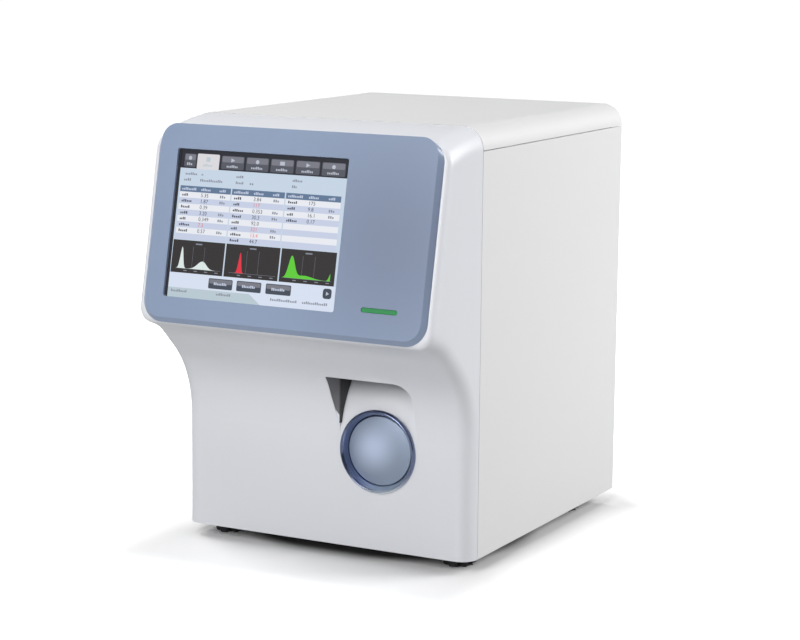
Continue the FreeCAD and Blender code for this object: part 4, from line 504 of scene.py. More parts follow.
def table_finish():
    """White card: a shadow painted right under the object, lit near it and plain white well away.
    """
    material = finish("table_white", *TABLE_TONES, TABLE_ROUGH, TABLE_GRAIN, TABLE_DEPTH)
    tree = material.node_tree
    seen = tree.nodes["Principled BSDF"]
    tone = seen.inputs["Base Color"].links[0].from_socket
    painted_shadow = outside_box(tree, PAINTED_SHADOW_BOX, PAINTED_SHADOW_REACH, (1.0, 0.0))
    tree.links.new(mix_colour(tree, painted_shadow, tone, PAINTED_SHADOW_TONE), seen.inputs["Base Color"])
    glow = outside_box(tree, FOOTPRINT, WHITE_REACH, (0.0, TABLE_GLOW))
    tree.links.new(glow, seen.inputs["Emission Strength"])
    feed(tree, seen.inputs["Emission Color"], (1.0, 1.0, 1.0))
    path = tree.nodes.new("ShaderNodeLightPath")
    dull = tree.nodes.new("ShaderNodeBsdfDiffuse")
    feed(tree, dull.inputs["Color"], TABLE_BOUNCE)
    mix = tree.nodes.new("ShaderNodeMixShader")
    tree.links.new(path.outputs["Is Camera Ray"], mix.inputs["Fac"])
    tree.links.new(dull.outputs["BSDF"], mix.inputs[1])
    tree.links.new(seen.outputs["BSDF"], mix.inputs[2])
    tree.links.new(mix.outputs["Shader"], tree.nodes["Material Output"].inputs["Surface"])
    return material


table_top.data.materials.append(table_finish())
print("table reflects", TABLE_BOUNCE[0])

# %% [markdown]
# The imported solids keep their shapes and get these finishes. The record already says which
# slot each node belongs to, so the finish is looked up by the slot's name.

# %% Dress the solids
def dress_solids():
    """Put the finish of its slot on every solid of the frame."""
    slots = {s["node"]: s["material_slot"] for s in frame["record"]["subparts"]}
    for name, item in NODES.items():
        item.data.materials.clear()
        item.data.materials.append(F[slots[name]])
    print("dressed:", len(NODES), "solids")


dress_solids()

# %% [markdown]
# The screen leans back on the nose. Everything on it is easiest to lay out as shares of the
# lit picture, from its left edge and from its top, so one function turns such shares into
# points in space. The picture is built as real thin layers under one gloss: a black plate,
# a pale ground, then bars, panels and figures, each a few hundredths of a millimetre proud.

# %% Screen plane
LEAN = math.radians(11.63)
FACE_FOOT = Vector((0.0, -0.2054, 0.2235))
OUTWARD = np.array([0.0, -math.cos(LEAN), math.sin(LEAN)])
UPWARD = np.array([0.0, math.sin(LEAN), math.cos(LEAN)])
LIT = dict(left=-0.1187, right=0.0517, low=0.0218, high=0.1496)
PLATE_DEPTH = 0.00290
LAYER_TALL = 0.00006
GROUND_LAYER, BAND_LAYER, ITEM_LAYER, GLOSS_LAYER, MARK_LAYER = 1, 2, 3, 4, 5
CORNER_STEPS, DISC_SIDES = 5, 20


def on_face(across, along, depth):
    """Points on the leaning face: across, then up the slope, then back by depth."""
    across, along, depth = np.broadcast_arrays(across, along, depth)
    place = np.array(FACE_FOOT) + across[..., None] * np.array([1.0, 0.0, 0.0])
    return place + along[..., None] * UPWARD - depth[..., None] * OUTWARD


def from_shares(points):
    """Shares of the picture, from its left and from its top, as metres across and up."""
    points = np.asarray(points, float)
    across = LIT["left"] + points[:, 0] * (LIT["right"] - LIT["left"])
    along = LIT["high"] - points[:, 1] * (LIT["high"] - LIT["low"])
    return np.stack([across, along], axis=-1)


def rounded(left, right, top, low, corner=0.0):
    """Outline of a box given in shares, its corners turned through arcs of a real radius."""
    (a, d), (b, c) = from_shares([(left, top), (right, low)])
    corner = min(corner, (b - a) / 2, (d - c) / 2)
    turn = np.linspace(0, math.pi / 2, CORNER_STEPS if corner else 1)
    centres = ((b - corner, d - corner), (a + corner, d - corner),
               (a + corner, c + corner), (b - corner, c + corner))
    arcs = [np.stack([x + corner * np.cos(turn + i * math.pi / 2),
                      y + corner * np.sin(turn + i * math.pi / 2)], axis=-1)
            for i, (x, y) in enumerate(centres)]
    return np.concatenate(arcs)


def disc(share_x, share_y, radius):
    """Outline of a circle at a place given in shares."""
    centre = from_shares([(share_x, share_y)])[0]
    turn = np.linspace(0, 2 * math.pi, DISC_SIDES, endpoint=False)
    return centre + radius * np.stack([np.cos(turn), np.sin(turn)], axis=-1)


def plate_mesh(outlines, depth, thickness):
    """Closed thin plates: each outline twice, front and back, with a wall between."""
    points, faces, start = [], [], 0
    for outline in outlines:
        count = len(outline)
        for back in (0.0, thickness):
            points.append(on_face(outline[:, 0], outline[:, 1], depth + back))
        ring = np.arange(count)
        after = (ring + 1) % count
        faces.append(list(start + ring))
        faces.append(list(start + count + ring[::-1]))
        wall = np.stack([ring, ring + count, after + count, after], axis=-1) + start
        faces.extend(wall.tolist())
        start += 2 * count
    return np.concatenate(points), faces


def plates(name, outlines, layer, material):
    """One piece of thin plates on a given layer of the picture."""
    depth = PLATE_DEPTH - layer * LAYER_TALL
    points, faces = plate_mesh(outlines, depth, LAYER_TALL)
    item = make_object(name, points, faces, smooth=False)
    return finish_piece(item, "casing", "screen_glass", material)


print("screen leans", round(math.degrees(LEAN), 2), "degrees")

# %% [markdown]
# A lit display is a dark body with its own light under a cover glass. Each screen colour is
# therefore a finish that gives its tone as light only, under a hard clear coat for the glass.

# %% Screen colours
SHADE_SHARE = 0.96
SCREEN_COLOURS = {
    "ground": (0.58, 0.68, 0.80),
    "ground_low": (0.70, 0.77, 0.90),
    "strip": (0.025, 0.027, 0.035),
    "tab": (0.095, 0.10, 0.125),
    "tab_top": (0.20, 0.205, 0.24),
    "active": (0.72, 0.71, 0.74),
    "header": (0.125, 0.195, 0.31),
    "row": (0.83, 0.85, 0.90),
    "row_blue": (0.58, 0.64, 0.80),
    "graph": (0.035, 0.032, 0.030),
    "pale": (0.74, 0.84, 0.82),
    "red": (0.78, 0.035, 0.06),
    "green": (0.12, 0.62, 0.04),
    "ink": (0.045, 0.05, 0.08),
    "dim": (0.25, 0.27, 0.33),
    "warn": (0.80, 0.16, 0.16),
    "mark": (0.50, 0.54, 0.62),
    "button": (0.06, 0.075, 0.10),
    "footer": (0.50, 0.60, 0.66),
}


def screen_colour(name, colour):
    """A colour that shines from a near black body under glass."""
    shade = tuple(SHADE_SHARE * part for part in colour)
    return finish("screen_" + name, colour, shade, (0.16, 0.22), 1200.0, 0.004, coat=0.5,
                  coat_rough=0.06, lit=1.0)


C = {name: screen_colour(name, colour) for name, colour in SCREEN_COLOURS.items()}
print("screen colours:", len(C))

# %% [markdown]
# The glass plate fills the bezel's window and stands in for the touch glass of the frame. The
# black rim is the part of the plate that the picture leaves uncovered: the picture starts at
# share 0 on the left, and runs on a little under the bezel's edge on its other sides.

# %% Glass plate and ground
GLASS = dict(left=-0.1355, right=0.0685, low=0.014, high=0.157)
GLASS_BACK = 0.0037
PAGE_RIGHT, PAGE_TOP, PAGE_LOW = 1.035, -0.035, 1.05


def add_glass():
    """The plate behind the bezel's window."""
    outline = np.array([(GLASS["left"], GLASS["low"]), (GLASS["right"], GLASS["low"]),
                        (GLASS["right"], GLASS["high"]), (GLASS["left"], GLASS["high"])])
    points, faces = plate_mesh([outline], PLATE_DEPTH, GLASS_BACK - PLATE_DEPTH)
    item = make_object("screen_plate", points, faces, smooth=False)
    return finish_piece(item, "casing", "screen_glass", F["screen_glass"], "touch_glass")


add_glass()
plates("screen_picture", [rounded(0, PAGE_RIGHT, PAGE_TOP, PAGE_LOW)], GROUND_LAYER, C["ground"])

# %% [markdown]
# The picture shows a results page. A dark strip of seven tabs runs along the top, the second
# one lit. Below come a few lines about the sample, then a table in three groups with banded
# rows, three dark graphs, and three buttons over a footer. Only figures are set as type, and
# the words are rows of strokes, because the page is a generic one.

# %% Tabs, table bands and panels
TAB_SPANS = ((0.020, 0.092), (0.100, 0.236), (0.250, 0.388), (0.401, 0.537), (0.550, 0.688),
             (0.701, 0.842), (0.855, 0.993))
ACTIVE_TAB = 1
STRIP_LOW, TAB_TOP, TAB_LOW, TAB_GLOSS_LOW = 0.112, 0.010, 0.103, 0.055
LIT_TOP, LIT_LOW = 0.006, 0.116
GLOSS_IN, TAB_GLOSS_DOWN, BUTTON_GLOSS_DOWN = 0.004, 0.004, 0.006
GROUPS = ((0.012, 0.325), (0.333, 0.652), (0.660, 0.985))
TABLE_TOP, ROW_PITCH, ROW_COUNT = 0.278, 0.0418, 8
HEADER_TOP = 0.236
GRAPHS = ((0.004, 0.325), (0.333, 0.660), (0.668, 0.994))
GRAPH_TOP, GRAPH_LOW = 0.618, 0.848
BUTTONS = ((0.247, 0.394), (0.419, 0.568), (0.596, 0.747))
BUTTON_TOP, BUTTON_LOW = 0.868, 0.940
ARROW_KEY = (0.935, 0.986, 0.866, 0.936)
FOOTER = ((0.0, PAGE_LOW), (0.0, 0.953), (0.50, 0.953), (0.60, PAGE_LOW))
CORNER = 0.0012


def row_top(index):
    """Top of one row of the table, as a share of the picture."""
    return TABLE_TOP + index * ROW_PITCH


def add_panels():
    """Strips, tabs, bands, graph grounds, buttons and footer."""
    plates("screen_strip", [rounded(0, PAGE_RIGHT, PAGE_TOP, STRIP_LOW)], BAND_LAYER, C["strip"])
    plates("screen_lower_ground", [rounded(0, PAGE_RIGHT, GRAPH_LOW, PAGE_LOW)], BAND_LAYER,
           C["ground_low"])
    quiet = [span for i, span in enumerate(TAB_SPANS) if i != ACTIVE_TAB]
    plates("screen_tabs", [rounded(a, b, TAB_TOP, TAB_LOW, CORNER) for a, b in quiet],
           ITEM_LAYER, C["tab"])
    plates("screen_tab_gloss", [rounded(a + GLOSS_IN, b - GLOSS_IN, TAB_TOP + TAB_GLOSS_DOWN,
                                        TAB_GLOSS_LOW, CORNER) for a, b in quiet],
           GLOSS_LAYER, C["tab_top"])
    plates("screen_tab_lit", [rounded(*TAB_SPANS[ACTIVE_TAB], LIT_TOP, LIT_LOW, CORNER)],
           GLOSS_LAYER, C["active"])
    plates("screen_header_bars", [rounded(a, b, HEADER_TOP, TABLE_TOP) for a, b in GROUPS],
           BAND_LAYER, C["header"])
    bands = {0: [], 1: []}
    for index in range(ROW_COUNT):
        for a, b in GROUPS:
            bands[index % 2].append(rounded(a, b, row_top(index), row_top(index + 1)))
    plates("screen_rows_white", bands[0], BAND_LAYER, C["row"])
    plates("screen_rows_blue", bands[1], BAND_LAYER, C["row_blue"])
    plates("screen_graph_grounds", [rounded(a, b, GRAPH_TOP, GRAPH_LOW) for a, b in GRAPHS],
           BAND_LAYER, C["graph"])
    plates("screen_buttons", [rounded(a, b, BUTTON_TOP, BUTTON_LOW, CORNER) for a, b in BUTTONS]
           + [rounded(*ARROW_KEY, 2 * CORNER)], ITEM_LAYER, C["button"])
    plates("screen_button_gloss", [rounded(a + GLOSS_IN, b - GLOSS_IN,
                                           BUTTON_TOP + BUTTON_GLOSS_DOWN,
                                           (BUTTON_TOP + BUTTON_LOW) / 2, CORNER)
                                   for a, b in BUTTONS], GLOSS_LAYER, C["tab_top"])
    plates("screen_footer", [from_shares(FOOTER)[::-1]], ITEM_LAYER, C["footer"])


add_panels()
print("table:", ROW_COUNT, "rows in", len(GROUPS), "groups")

# %% [markdown]
# The graphs are counts against cell size. Each is a filled outline: a sum of bell curves along
# the base line, closed at the bottom. White cells give two humps, red cells one narrow peak,
# and platelets a skewed one whose tail lifts at the end.

# %% Graphs
BASE_SHARE, CURVE_POINTS = 0.86, 56
HAIR = 0.0016
AXIS_IN, AXIS_OUT = 0.09, 0.05
TICKS, TICK_HALF, TICK_TOP, TICK_LOW = (0.28, 0.48, 0.68, 0.88), 0.010, 0.012, 0.018
DIVIDERS, DIVIDER_TOP = (0.40, 0.62), 0.18
TITLE_HALF, TITLE_TOP, TITLE_LOW = 0.02, 0.018, 0.027
# bells as (height, centre, width left, width right), start and stop of the curve, colour
CURVES = {
    "white": ([(0.66, 0.19, 0.035, 0.042), (0.25, 0.60, 0.13, 0.11)], 0.10, 0.90, "pale"),
    "red": ([(0.62, 0.28, 0.035, 0.035)], 0.16, 0.40, "red"),
    "green": ([(0.66, 0.20, 0.065, 0.09), (0.10, 0.45, 0.16, 0.2), (0.24, 0.93, 0.04, 0.03)],
              0.04, 0.92, "green"),
}


def bell_sum(x, bells):
    """Height at x: a sum of heights times e to the minus square of the distance in widths."""
    total = np.zeros_like(x)
    for height, centre, before, after in bells:
        width = np.where(x < centre, before, after)
        total += height * np.exp(-((x - centre) / width) ** 2)
    return total


def curve_outline(graph, bells, start, stop):
    """The filled curve of one graph, from its base line up."""
    left, right = GRAPHS[graph]
    x = np.linspace(start, stop, CURVE_POINTS)
    height = bell_sum(x, bells)
    across = left + (right - left) * x
    tall = GRAPH_LOW - GRAPH_TOP
    base = GRAPH_TOP + BASE_SHARE * tall
    top = np.stack([across, base - height * tall], axis=-1)
    foot = np.array([(across[-1], base), (across[0], base)])
    return from_shares(np.concatenate([top, foot]))[::-1]


def frame_lines(graph):
    """Thin axes, tick marks and two dividing lines of a graph."""
    left, right = GRAPHS[graph]
    wide, tall = right - left, GRAPH_LOW - GRAPH_TOP
    base = GRAPH_TOP + BASE_SHARE * tall
    lines = [rounded(left + AXIS_IN * wide, right - AXIS_OUT * wide, base, base + HAIR)]
    for share in TICKS:
        x = left + share * wide
        lines.append(rounded(x - TICK_HALF, x + TICK_HALF, base + TICK_TOP, base + TICK_LOW))
    for share in DIVIDERS:
        x = left + share * wide
        lines.append(rounded(x, x + HAIR / 2, GRAPH_TOP + DIVIDER_TOP * tall, base))
    return lines


def add_graphs():
    """Three filled curves, their axes and their titles."""
    for graph, (name, (bells, start, stop, colour)) in enumerate(CURVES.items()):
        outline = curve_outline(graph, bells, start, stop)
        plates("screen_curve_" + name, [outline], ITEM_LAYER, C[colour])
    lines = [line for graph in range(len(GRAPHS)) for line in frame_lines(graph)]
    titles = [rounded((a + b) / 2 - TITLE_HALF, (a + b) / 2 + TITLE_HALF, GRAPH_TOP + TITLE_TOP,
                      GRAPH_TOP + TITLE_LOW) for a, b in GRAPHS]
    plates("screen_graph_lines", lines + titles, ITEM_LAYER, C["dim"])


add_graphs()
print("graphs:", len(GRAPHS))

# %% [markdown]
# Words are rows of small strokes whose lengths vary as real words do. Figures are set in
# Blender's own typeface, turned into a flat mesh and laid on the page.

# %% Words and figures
VALUES = (("5.35", "1.87", "0.39", "3.20", "0.349", "7.3", "0.57"),
          ("3.84", "117", "0.353", "30.3", "92.0", "321", "13.4", "44.7"),
          ("175", "9.8", "16.1", "0.17"))
RED_CELLS = {(0, 5), (1, 1), (1, 5), (1, 6)}
FIGURE_SIZE, FIGURE_CURVE_STEPS = 0.0048, 3
WORD_TALL, LETTER_PITCH, LETTER_WIDE = 0.018, 0.0105, 0.66
LETTER_HEIGHTS = (1.0, 0.7, 0.7, 1.0, 0.65)


def word(left, middle, length):
    """A row of small upright strokes that reads as a line of type: a list of outlines.

    Letter i is one stroke, LETTER_WIDE of its pitch; its height follows a fixed pattern in i.
    """
    count = max(2, round(length / LETTER_PITCH))
    outlines = []
    for index in range(count):
        a = left + index * length / count
        tall = WORD_TALL * LETTER_HEIGHTS[(index * 2 + count) % len(LETTER_HEIGHTS)]
        low = middle + WORD_TALL / 2
        outlines.append(rounded(a, a + LETTER_WIDE * length / count, low - tall, low))
    return outlines


def words_of(spans):
    """The strokes of many words as one list; each span is (left, middle, length)."""
    return [outline for span in spans for outline in word(*span)]


def figure_points(text, share_x, share_y):
    """A number as flat triangles on the page: its points and faces."""
    curve = bpy.data.curves.new("figure", "FONT")
    curve.body = text
    curve.size = FIGURE_SIZE
    curve.align_x, curve.align_y = "LEFT", "CENTER"
    curve.resolution_u = FIGURE_CURVE_STEPS
    holder = add_object("figure", curve)
    mesh = bpy.data.meshes.new_from_object(holder)
    flat = np.zeros(len(mesh.vertices) * 3)
    mesh.vertices.foreach_get("co", flat)
    flat = flat.reshape(-1, 3)
    faces = [list(p.vertices) for p in mesh.polygons]
    bpy.data.objects.remove(holder)
    bpy.data.curves.remove(curve)
    bpy.data.meshes.remove(mesh)
    start = from_shares([(share_x, share_y)])[0]
    return start + flat[:, :2], faces


def add_figures(name, entries, layer, material):
    """All the numbers of one colour as one piece."""
    points, faces, start = [], [], 0
    depth = PLATE_DEPTH - layer * LAYER_TALL
    for text, share_x, share_y in entries:
        spots, sides = figure_points(text, share_x, share_y)
        points.append(on_face(spots[:, 0], spots[:, 1], depth))
        faces += [[start + v for v in side] for side in sides]
        start += len(spots)
    item = make_object(name, np.concatenate(points), faces, smooth=False)
    return finish_piece(item, "casing", "screen_glass", material)


print("a stroke is", LETTER_WIDE, "of its pitch")

# %% [markdown]
# Each row of the table has a name, a figure and, in most rows, a unit. The names vary in length
# by a fixed pattern in the row and the group, and four figures are red.

# %% Text of the table
NAME_SHARE, VALUE_SHARE, UNIT_SHARE = 0.05, 0.42, 0.80
NAME_SHORT, NAME_STEP, UNIT_LENGTH = 0.038, 0.009, 0.036
HEAD_WORDS = ((0.04, 0.09), (0.42, 0.06), (0.78, 0.04))
SAMPLE_WORDS = [(0.035, 0.150, 0.075), (0.030, 0.192, 0.045), (0.135, 0.150, 0.012),
                (0.130, 0.192, 0.140), (0.350, 0.150, 0.045), (0.350, 0.192, 0.048),
                (0.435, 0.192, 0.026), (0.690, 0.150, 0.060), (0.690, 0.192, 0.030)]
FOOT_MIDDLE = 0.975
FOOT_WORDS = ((0.02, 0.10), (0.30, 0.09), (0.63, 0.16), (0.82, 0.15))
BUTTON_WORD = 0.08


def add_table_text():
    """Names, values and units of the table, and the lines above and below it."""
    dark, red, names, heads, units = [], [], [], [], list(SAMPLE_WORDS)
    for group, values in enumerate(VALUES):
        left, right = GROUPS[group]
        wide = right - left
        for share, length in HEAD_WORDS:
            heads.append((left + share * wide, (HEADER_TOP + TABLE_TOP) / 2, length))
        for index, value in enumerate(values):
            middle = row_top(index) + ROW_PITCH / 2
            length = NAME_SHORT + NAME_STEP * ((index * 3 + group) % 4)
            names.append((left + NAME_SHARE * wide, middle, length))
            entry = (value, left + VALUE_SHARE * wide, middle)
            (red if (group, index) in RED_CELLS else dark).append(entry)
            if (index + group) % 3 != 2:
                units.append((left + UNIT_SHARE * wide, middle, UNIT_LENGTH))
    foot = [(left, FOOT_MIDDLE, length) for left, length in FOOT_WORDS]
    labels = [((a + b - BUTTON_WORD) / 2, (BUTTON_TOP + BUTTON_LOW) / 2, BUTTON_WORD)
              for a, b in BUTTONS]
    add_figures("screen_values", dark, ITEM_LAYER, C["ink"])
    add_figures("screen_values_red", red, ITEM_LAYER, C["warn"])
    plates("screen_names", words_of(names), ITEM_LAYER, C["ink"])
    plates("screen_foot_words", words_of(foot), GLOSS_LAYER, C["dim"])
    plates("screen_heads", words_of(heads), ITEM_LAYER, C["row_blue"])
    plates("screen_units", words_of(units), ITEM_LAYER, C["dim"])
    plates("screen_button_words", words_of(labels), MARK_LAYER, C["row_blue"])


add_table_text()
print("figures:", sum(len(v) for v in VALUES))

# %% [markdown]
# Each tab has a plain mark over a short word. The marks are a disc, a small box and a triangle
# in turn, and the lit tab has a box. The small button at the right has an arrow.

# %% Marks of the tabs
MARK_MIDDLE, MARK_TOP, MARK_LOW = 0.040, 0.026, 0.052
MARK_RADIUS, MARK_CORNER = 0.0018, 0.0003
BOX_HALF, POINT_LEFT, POINT_RIGHT, POINT_LOW = 0.014, 0.010, 0.014, 0.054
TAB_WORD, TAB_WORD_SHORT, TAB_WORD_MIDDLE = 0.07, 0.036, 0.082
LIT_HALF, LIT_MARK_TOP, LIT_MARK_LOW, LIT_WORD, LIT_WORD_MIDDLE = 0.012, 0.028, 0.060, 0.06, 0.085
ARROW = ((0.954, 0.915), (0.972, 0.901), (0.954, 0.887))


def tab_mark(shape, middle):
    """The outline of one of the three marks, over the middle of a tab."""
    if shape == 0:
        return disc(middle, MARK_MIDDLE, MARK_RADIUS)
    if shape == 1:
        return rounded(middle - BOX_HALF, middle + BOX_HALF, MARK_TOP, MARK_LOW, MARK_CORNER)
    return from_shares([(middle - POINT_LEFT, POINT_LOW), (middle + POINT_RIGHT, MARK_MIDDLE),
                        (middle - POINT_LEFT, MARK_TOP)])


def add_icons():
    """A mark and a word on each tab, and the arrow of the small button."""
    marks, spans = [], []
    for index, (a, b) in enumerate(TAB_SPANS):
        middle = (a + b) / 2
        if index != ACTIVE_TAB:
            length = TAB_WORD if index else TAB_WORD_SHORT
            marks.append(tab_mark(index % 3, middle))
            spans.append((middle - length / 2, TAB_WORD_MIDDLE, length))
    plates("screen_tab_marks", [*marks, from_shares(ARROW)], MARK_LAYER, C["mark"])
    plates("screen_tab_words", words_of(spans), MARK_LAYER, C["mark"])
    middle = sum(TAB_SPANS[ACTIVE_TAB]) / 2
    box = rounded(middle - LIT_HALF, middle + LIT_HALF, LIT_MARK_TOP, LIT_MARK_LOW, MARK_CORNER)
    plates("screen_lit_mark", [box, *word(middle - LIT_WORD / 2, LIT_WORD_MIDDLE, LIT_WORD)],
           MARK_LAYER, C["footer"])


add_icons()
print("tabs:", len(TAB_SPANS))

# %% [markdown]
# Round parts are a profile spun about an axis. One helper spins it, one closes the surface at
# its poles and seam, and one makes one or more spun parts into a finished piece.

# %% Turned parts
OUT = np.array([0.0, -1.0, 0.0])
STEEP = 0.9
MERGE_REACH, FLAT_REACH = 1e-6, 1e-7


def spin(profile, centre, axis, sides):
    """A surface of revolution: profile rows are (radius, distance along the axis).

    Each point is the centre, plus the distance along the axis, plus the radius times a unit
    vector that turns once round the axis. The profile is closed by its own first and last row.
    """
    profile = np.asarray(profile, float)
    axis = np.asarray(axis, float)
    side = np.cross(axis, (0.0, 0.0, 1.0) if abs(axis[2]) < STEEP else (1.0, 0.0, 0.0))
    side /= np.linalg.norm(side)
    over = np.cross(axis, side)
    turn = np.linspace(0, 2 * math.pi, sides, endpoint=False)
    ring = np.cos(turn)[:, None] * side + np.sin(turn)[:, None] * over
    points = (np.asarray(centre) + profile[None, :, 1, None] * axis
              + profile[None, :, 0, None] * ring[:, None, :])
    return points.reshape(-1, 3), grid_faces(sides, len(profile), closed=True)


def ellipse_arc(centre, wide, tall, start, stop, count):
    """Points of an ellipse about a centre, from one angle in degrees to another."""
    turn = np.radians(np.linspace(start, stop, count))
    return np.stack([centre[0] + wide * np.cos(turn), centre[1] + tall * np.sin(turn)], axis=-1)


def close_up(item):
    """Merge doubled points at poles and seams, then point every face outwards."""
    work = bmesh.new()
    work.from_mesh(item.data)
    bmesh.ops.remove_doubles(work, verts=work.verts, dist=MERGE_REACH)
    bmesh.ops.dissolve_degenerate(work, edges=work.edges, dist=FLAT_REACH)
    bmesh.ops.recalc_face_normals(work, faces=work.faces)
    work.to_mesh(item.data)
    work.free()
    item.data.shade_smooth()
    item.data.set_sharp_from_angle(angle=SMOOTH_ANGLE)


def turned_piece(name, parts, body, slot, *nodes):
    """Turned parts, as (points, faces) pairs, made into one closed and finished piece."""
    points, faces, start = [], [], 0
    for spots, sides in parts:
        points.append(spots)
        faces.append(sides + start)
        start += len(spots)
    item = make_object(name, np.concatenate(points), np.concatenate(faces))
    close_up(item)
    return finish_piece(item, body, slot, F[slot], *nodes)


def axis_of(node):
    """Middle of a node across, its front plane and its radius across."""
    low, high = (np.array(v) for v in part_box(node))
    middle = (low + high) / 2
    return np.array([middle[0], low[1], middle[2]]), (high[0] - low[0]) / 2


print("turned parts face", OUT.tolist())

# %% [markdown]
# The solid model keeps the key and its ring plain. Here the ring is a polished rim that rolls
# over into a funnel, and the cap is a satin dome with a softly broken edge, because these two
# curves are what catch the light on the real key.

# %% Key ring and cap
RING_PROUD, RING_DEPTH = 0.0036, 0.0140
RING_CREST, RING_THROAT, RING_TUBE = 0.0366, 0.0322, 0.0360
THROAT_DEPTH, FUNNEL_BEND = 0.0048, 1.4
CAP_GAP, CAP_EDGE, CAP_RISE = 0.0004, 0.0009, 0.0040
CAP_SKIRT, CAP_SUNK = 0.0075, 0.0034
KEY_SIDES, CREST_POINTS, FUNNEL_POINTS, DOME_POINTS, EDGE_POINTS = 160, 14, 24, 26, 6
CAP_EDGE_START = 75.0


def add_ring():
    """A rim with a funnel inside it.

    A quarter ellipse climbs from the casing to the crest. From there the radius falls evenly
    to the throat while the depth grows with the FUNNEL_BEND power of the way, so the crest
    rolls over softly and the funnel ends steep. A plain tube carries the rest.
    """
    front, radius = axis_of("key_ring")
    face = front - RING_PROUD * OUT
    outer = ellipse_arc((RING_CREST, 0.0), radius - RING_CREST, RING_PROUD, 0, 90, CREST_POINTS)
    way = np.linspace(0, 1, FUNNEL_POINTS)[1:]
    inner = np.stack([RING_CREST - (RING_CREST - RING_THROAT) * way,
                      RING_PROUD - (RING_PROUD + THROAT_DEPTH) * way ** FUNNEL_BEND], axis=-1)
    tube = [(RING_THROAT, -RING_DEPTH), (RING_TUBE, -RING_DEPTH), (RING_TUBE, 0.0), (radius, 0.0)]
    bead = spin(np.concatenate([outer, inner, tube]), face, OUT, KEY_SIDES)
    turned_piece("ring_bead", [bead], "casing", "blue_metal", "key_ring")


def add_cap():
    """A dome: its height falls with the square of the radius, to a small round edge."""
    front, _ = axis_of("key_ring")
    face = front - RING_PROUD * OUT
    radius = RING_THROAT - CAP_GAP
    flat = radius - CAP_EDGE
    share = np.linspace(0, 1, DOME_POINTS)
    dome = np.stack([flat * share, CAP_RISE * (1 - share ** 2) - CAP_SUNK], axis=-1)
    edge = ellipse_arc((flat, -CAP_SUNK - CAP_EDGE), CAP_EDGE, CAP_EDGE, CAP_EDGE_START, 0,
                       EDGE_POINTS)
    skirt = [(radius, -CAP_SUNK - CAP_SKIRT), (0.0, -CAP_SUNK - CAP_SKIRT)]
    cap = spin(np.concatenate([dome, edge, skirt]), face, OUT, KEY_SIDES)
    turned_piece("key_cap", [cap], "sampling_key", "key_satin", "aspirate_key")


add_ring()
add_cap()
print("ring radius", round(axis_of("key_ring")[1] * 1000, 2), "mm")

# %% [markdown]
# The pocket's left wall runs deep and lies in shade. A dark grey sheet of painted shade sweeps
# from the cover's front edge to the rear liner, so no bright step is left between them. Its two
# edges are found by casting rays at the cover: one from the front for the step, one sideways for
# the flared wall, and one from the front for the edge of the face.

# %% Pocket sheet of painted shade
SHADE_SHEET_LIFT, SHADE_SHEET_ROWS, SHADE_SHEET_STEPS = 0.0002, 60, 8
SHADE_SHEET_TAPER, TAPER_POWER = 0.005, 0.7
RAY_START = -0.4
STEP_ASIDE, STEP_DOWN, TOP_GAP = 0.001, 0.02, 0.0003
WALL_ASIDE, WALL_REACH, EDGE_ASIDE = 0.004, 0.008, 0.0012


def cast(item, start, way):
    """Where a ray first meets a piece, or None."""
    hit, place, _, _ = item.ray_cast(Vector(start), Vector(way))
    return np.array(place) if hit else None


def add_pocket_shade_sheet():
    """A ruled sheet of painted shade: each row is a straight line from the face's edge to the
    liner.

    Over its lowest part the sheet narrows to a point, as a power of the height.
    """
    cover = NODES["front_cover"]
    low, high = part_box("probe_bay_liner")
    rows = []
    step = cast(cover, (low[0] - STEP_ASIDE, RAY_START, high[2] - STEP_DOWN), (0, 1, 0))[1]
    for height in np.linspace(low[2], high[2] - TOP_GAP, SHADE_SHEET_ROWS):
        wall = cast(cover, (low[0] + WALL_ASIDE, step - SHADE_SHEET_LIFT, height), (-1, 0, 0))
        if wall is None or wall[0] < low[0] - WALL_REACH:
            continue
        edge = cast(cover, (wall[0] - EDGE_ASIDE, RAY_START, height), (0, 1, 0))
        if edge is not None and edge[1] < step - 2 * SHADE_SHEET_LIFT:
            rows.append((wall[0], edge[1], height))
    rows = np.array(rows)
    way = np.linspace(0, 1, SHADE_SHEET_STEPS)
    share = np.clip((rows[:, 2] - rows[0, 2]) / SHADE_SHEET_TAPER, 0, 1)[:, None] ** TAPER_POWER
    side, depth = low[0] + SHADE_SHEET_LIFT, step - SHADE_SHEET_LIFT
    left = side + (rows[:, None, 0] + SHADE_SHEET_LIFT - side) * share
    front = depth + (rows[:, None, 1] + SHADE_SHEET_LIFT - depth) * share
    x = left + way * (side - left)
    y = front + way * (depth - front)
    z = np.broadcast_to(rows[:, None, 2], x.shape)
    points = np.stack([x, y, z], axis=-1).reshape(-1, 3)
    item = make_object("pocket_shade_sheet", points, grid_faces(len(rows), SHADE_SHEET_STEPS)[:, ::-1])
    finish_piece(item, "casing", "dark_plastic", F["pocket_shade_grey"])
    print("lining:", len(rows), "rows, front edge", rows[-1].round(4).tolist())


bpy.context.view_layer.update()
add_pocket_shade_sheet()

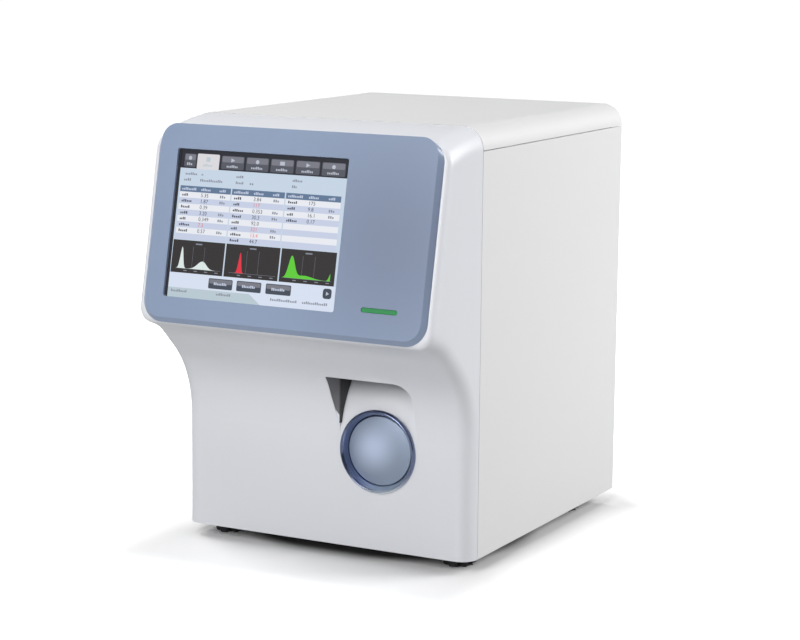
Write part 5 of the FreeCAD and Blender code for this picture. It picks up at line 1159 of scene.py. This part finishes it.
# %% [markdown]
# Feet and screws are small turned parts as well: a rubber drum with a rounded lower rim, and a
# pan head, which is a flattened half ellipse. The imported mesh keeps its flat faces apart, so
# each flat face gives one such part: ten for a foot and eight for a screw, which overlap.

# %% Feet and screws
FOOT_RIM = 0.0015
SCREW_RADIUS, SCREW_PROUD = 0.0032, 0.0019
FOOT_SIDES, FOOT_POINTS = 48, 7
SCREW_SIDES, SCREW_POINTS = 32, 8


def islands(node):
    """The box of each set of joined faces of a node, found by walking along the edges."""
    work = bmesh.new()
    work.from_mesh(NODES[node].data)
    left, boxes = set(work.verts), []
    while left:
        stack, piece = [next(iter(left))], set()
        while stack:
            point = stack.pop()
            if point in piece:
                continue
            piece.add(point)
            stack += [edge.other_vert(point) for edge in point.link_edges]
        left -= piece
        spots = np.array([point.co[:] for point in piece])
        boxes.append((spots.min(axis=0), spots.max(axis=0)))
    work.free()
    return sorted(boxes, key=lambda box: np.concatenate(box).tolist())


def add_feet():
    """Drums for the feet: the lower rim turns through a quarter circle."""
    parts = []
    for low, high in islands("rubber_feet"):
        middle = (low + high) / 2
        radius, tall = (high[0] - low[0]) / 2, high[2] - low[2]
        rim = ellipse_arc((radius - FOOT_RIM, -tall + FOOT_RIM), FOOT_RIM, FOOT_RIM, 0, -90,
                          FOOT_POINTS)
        profile = np.concatenate([[(0.0, 0.0), (radius, 0.0)], rim, [(0.0, -tall)]])
        top = (middle[0], middle[1], high[2])
        parts.append(spin(profile, top, (0.0, 0.0, 1.0), FOOT_SIDES))
    turned_piece("round_feet", parts, "casing", "foot_rubber", "rubber_feet")
    print("foot drums:", len(parts))


def add_screws():
    """Pan heads on the rear face."""
    parts = []
    for low, high in islands("panel_screws"):
        middle = (low + high) / 2
        head = ellipse_arc((0.0, 0.0), SCREW_RADIUS, SCREW_PROUD, 0, 90, SCREW_POINTS)
        seat = (middle[0], low[1], middle[2])
        parts.append(spin(np.concatenate([[(0.0, 0.0)], head]), seat, -OUT, SCREW_SIDES))
    turned_piece("screw_heads", parts, "casing", "steel_bright", "panel_screws")
    print("screw head parts:", len(parts))


add_feet()
add_screws()
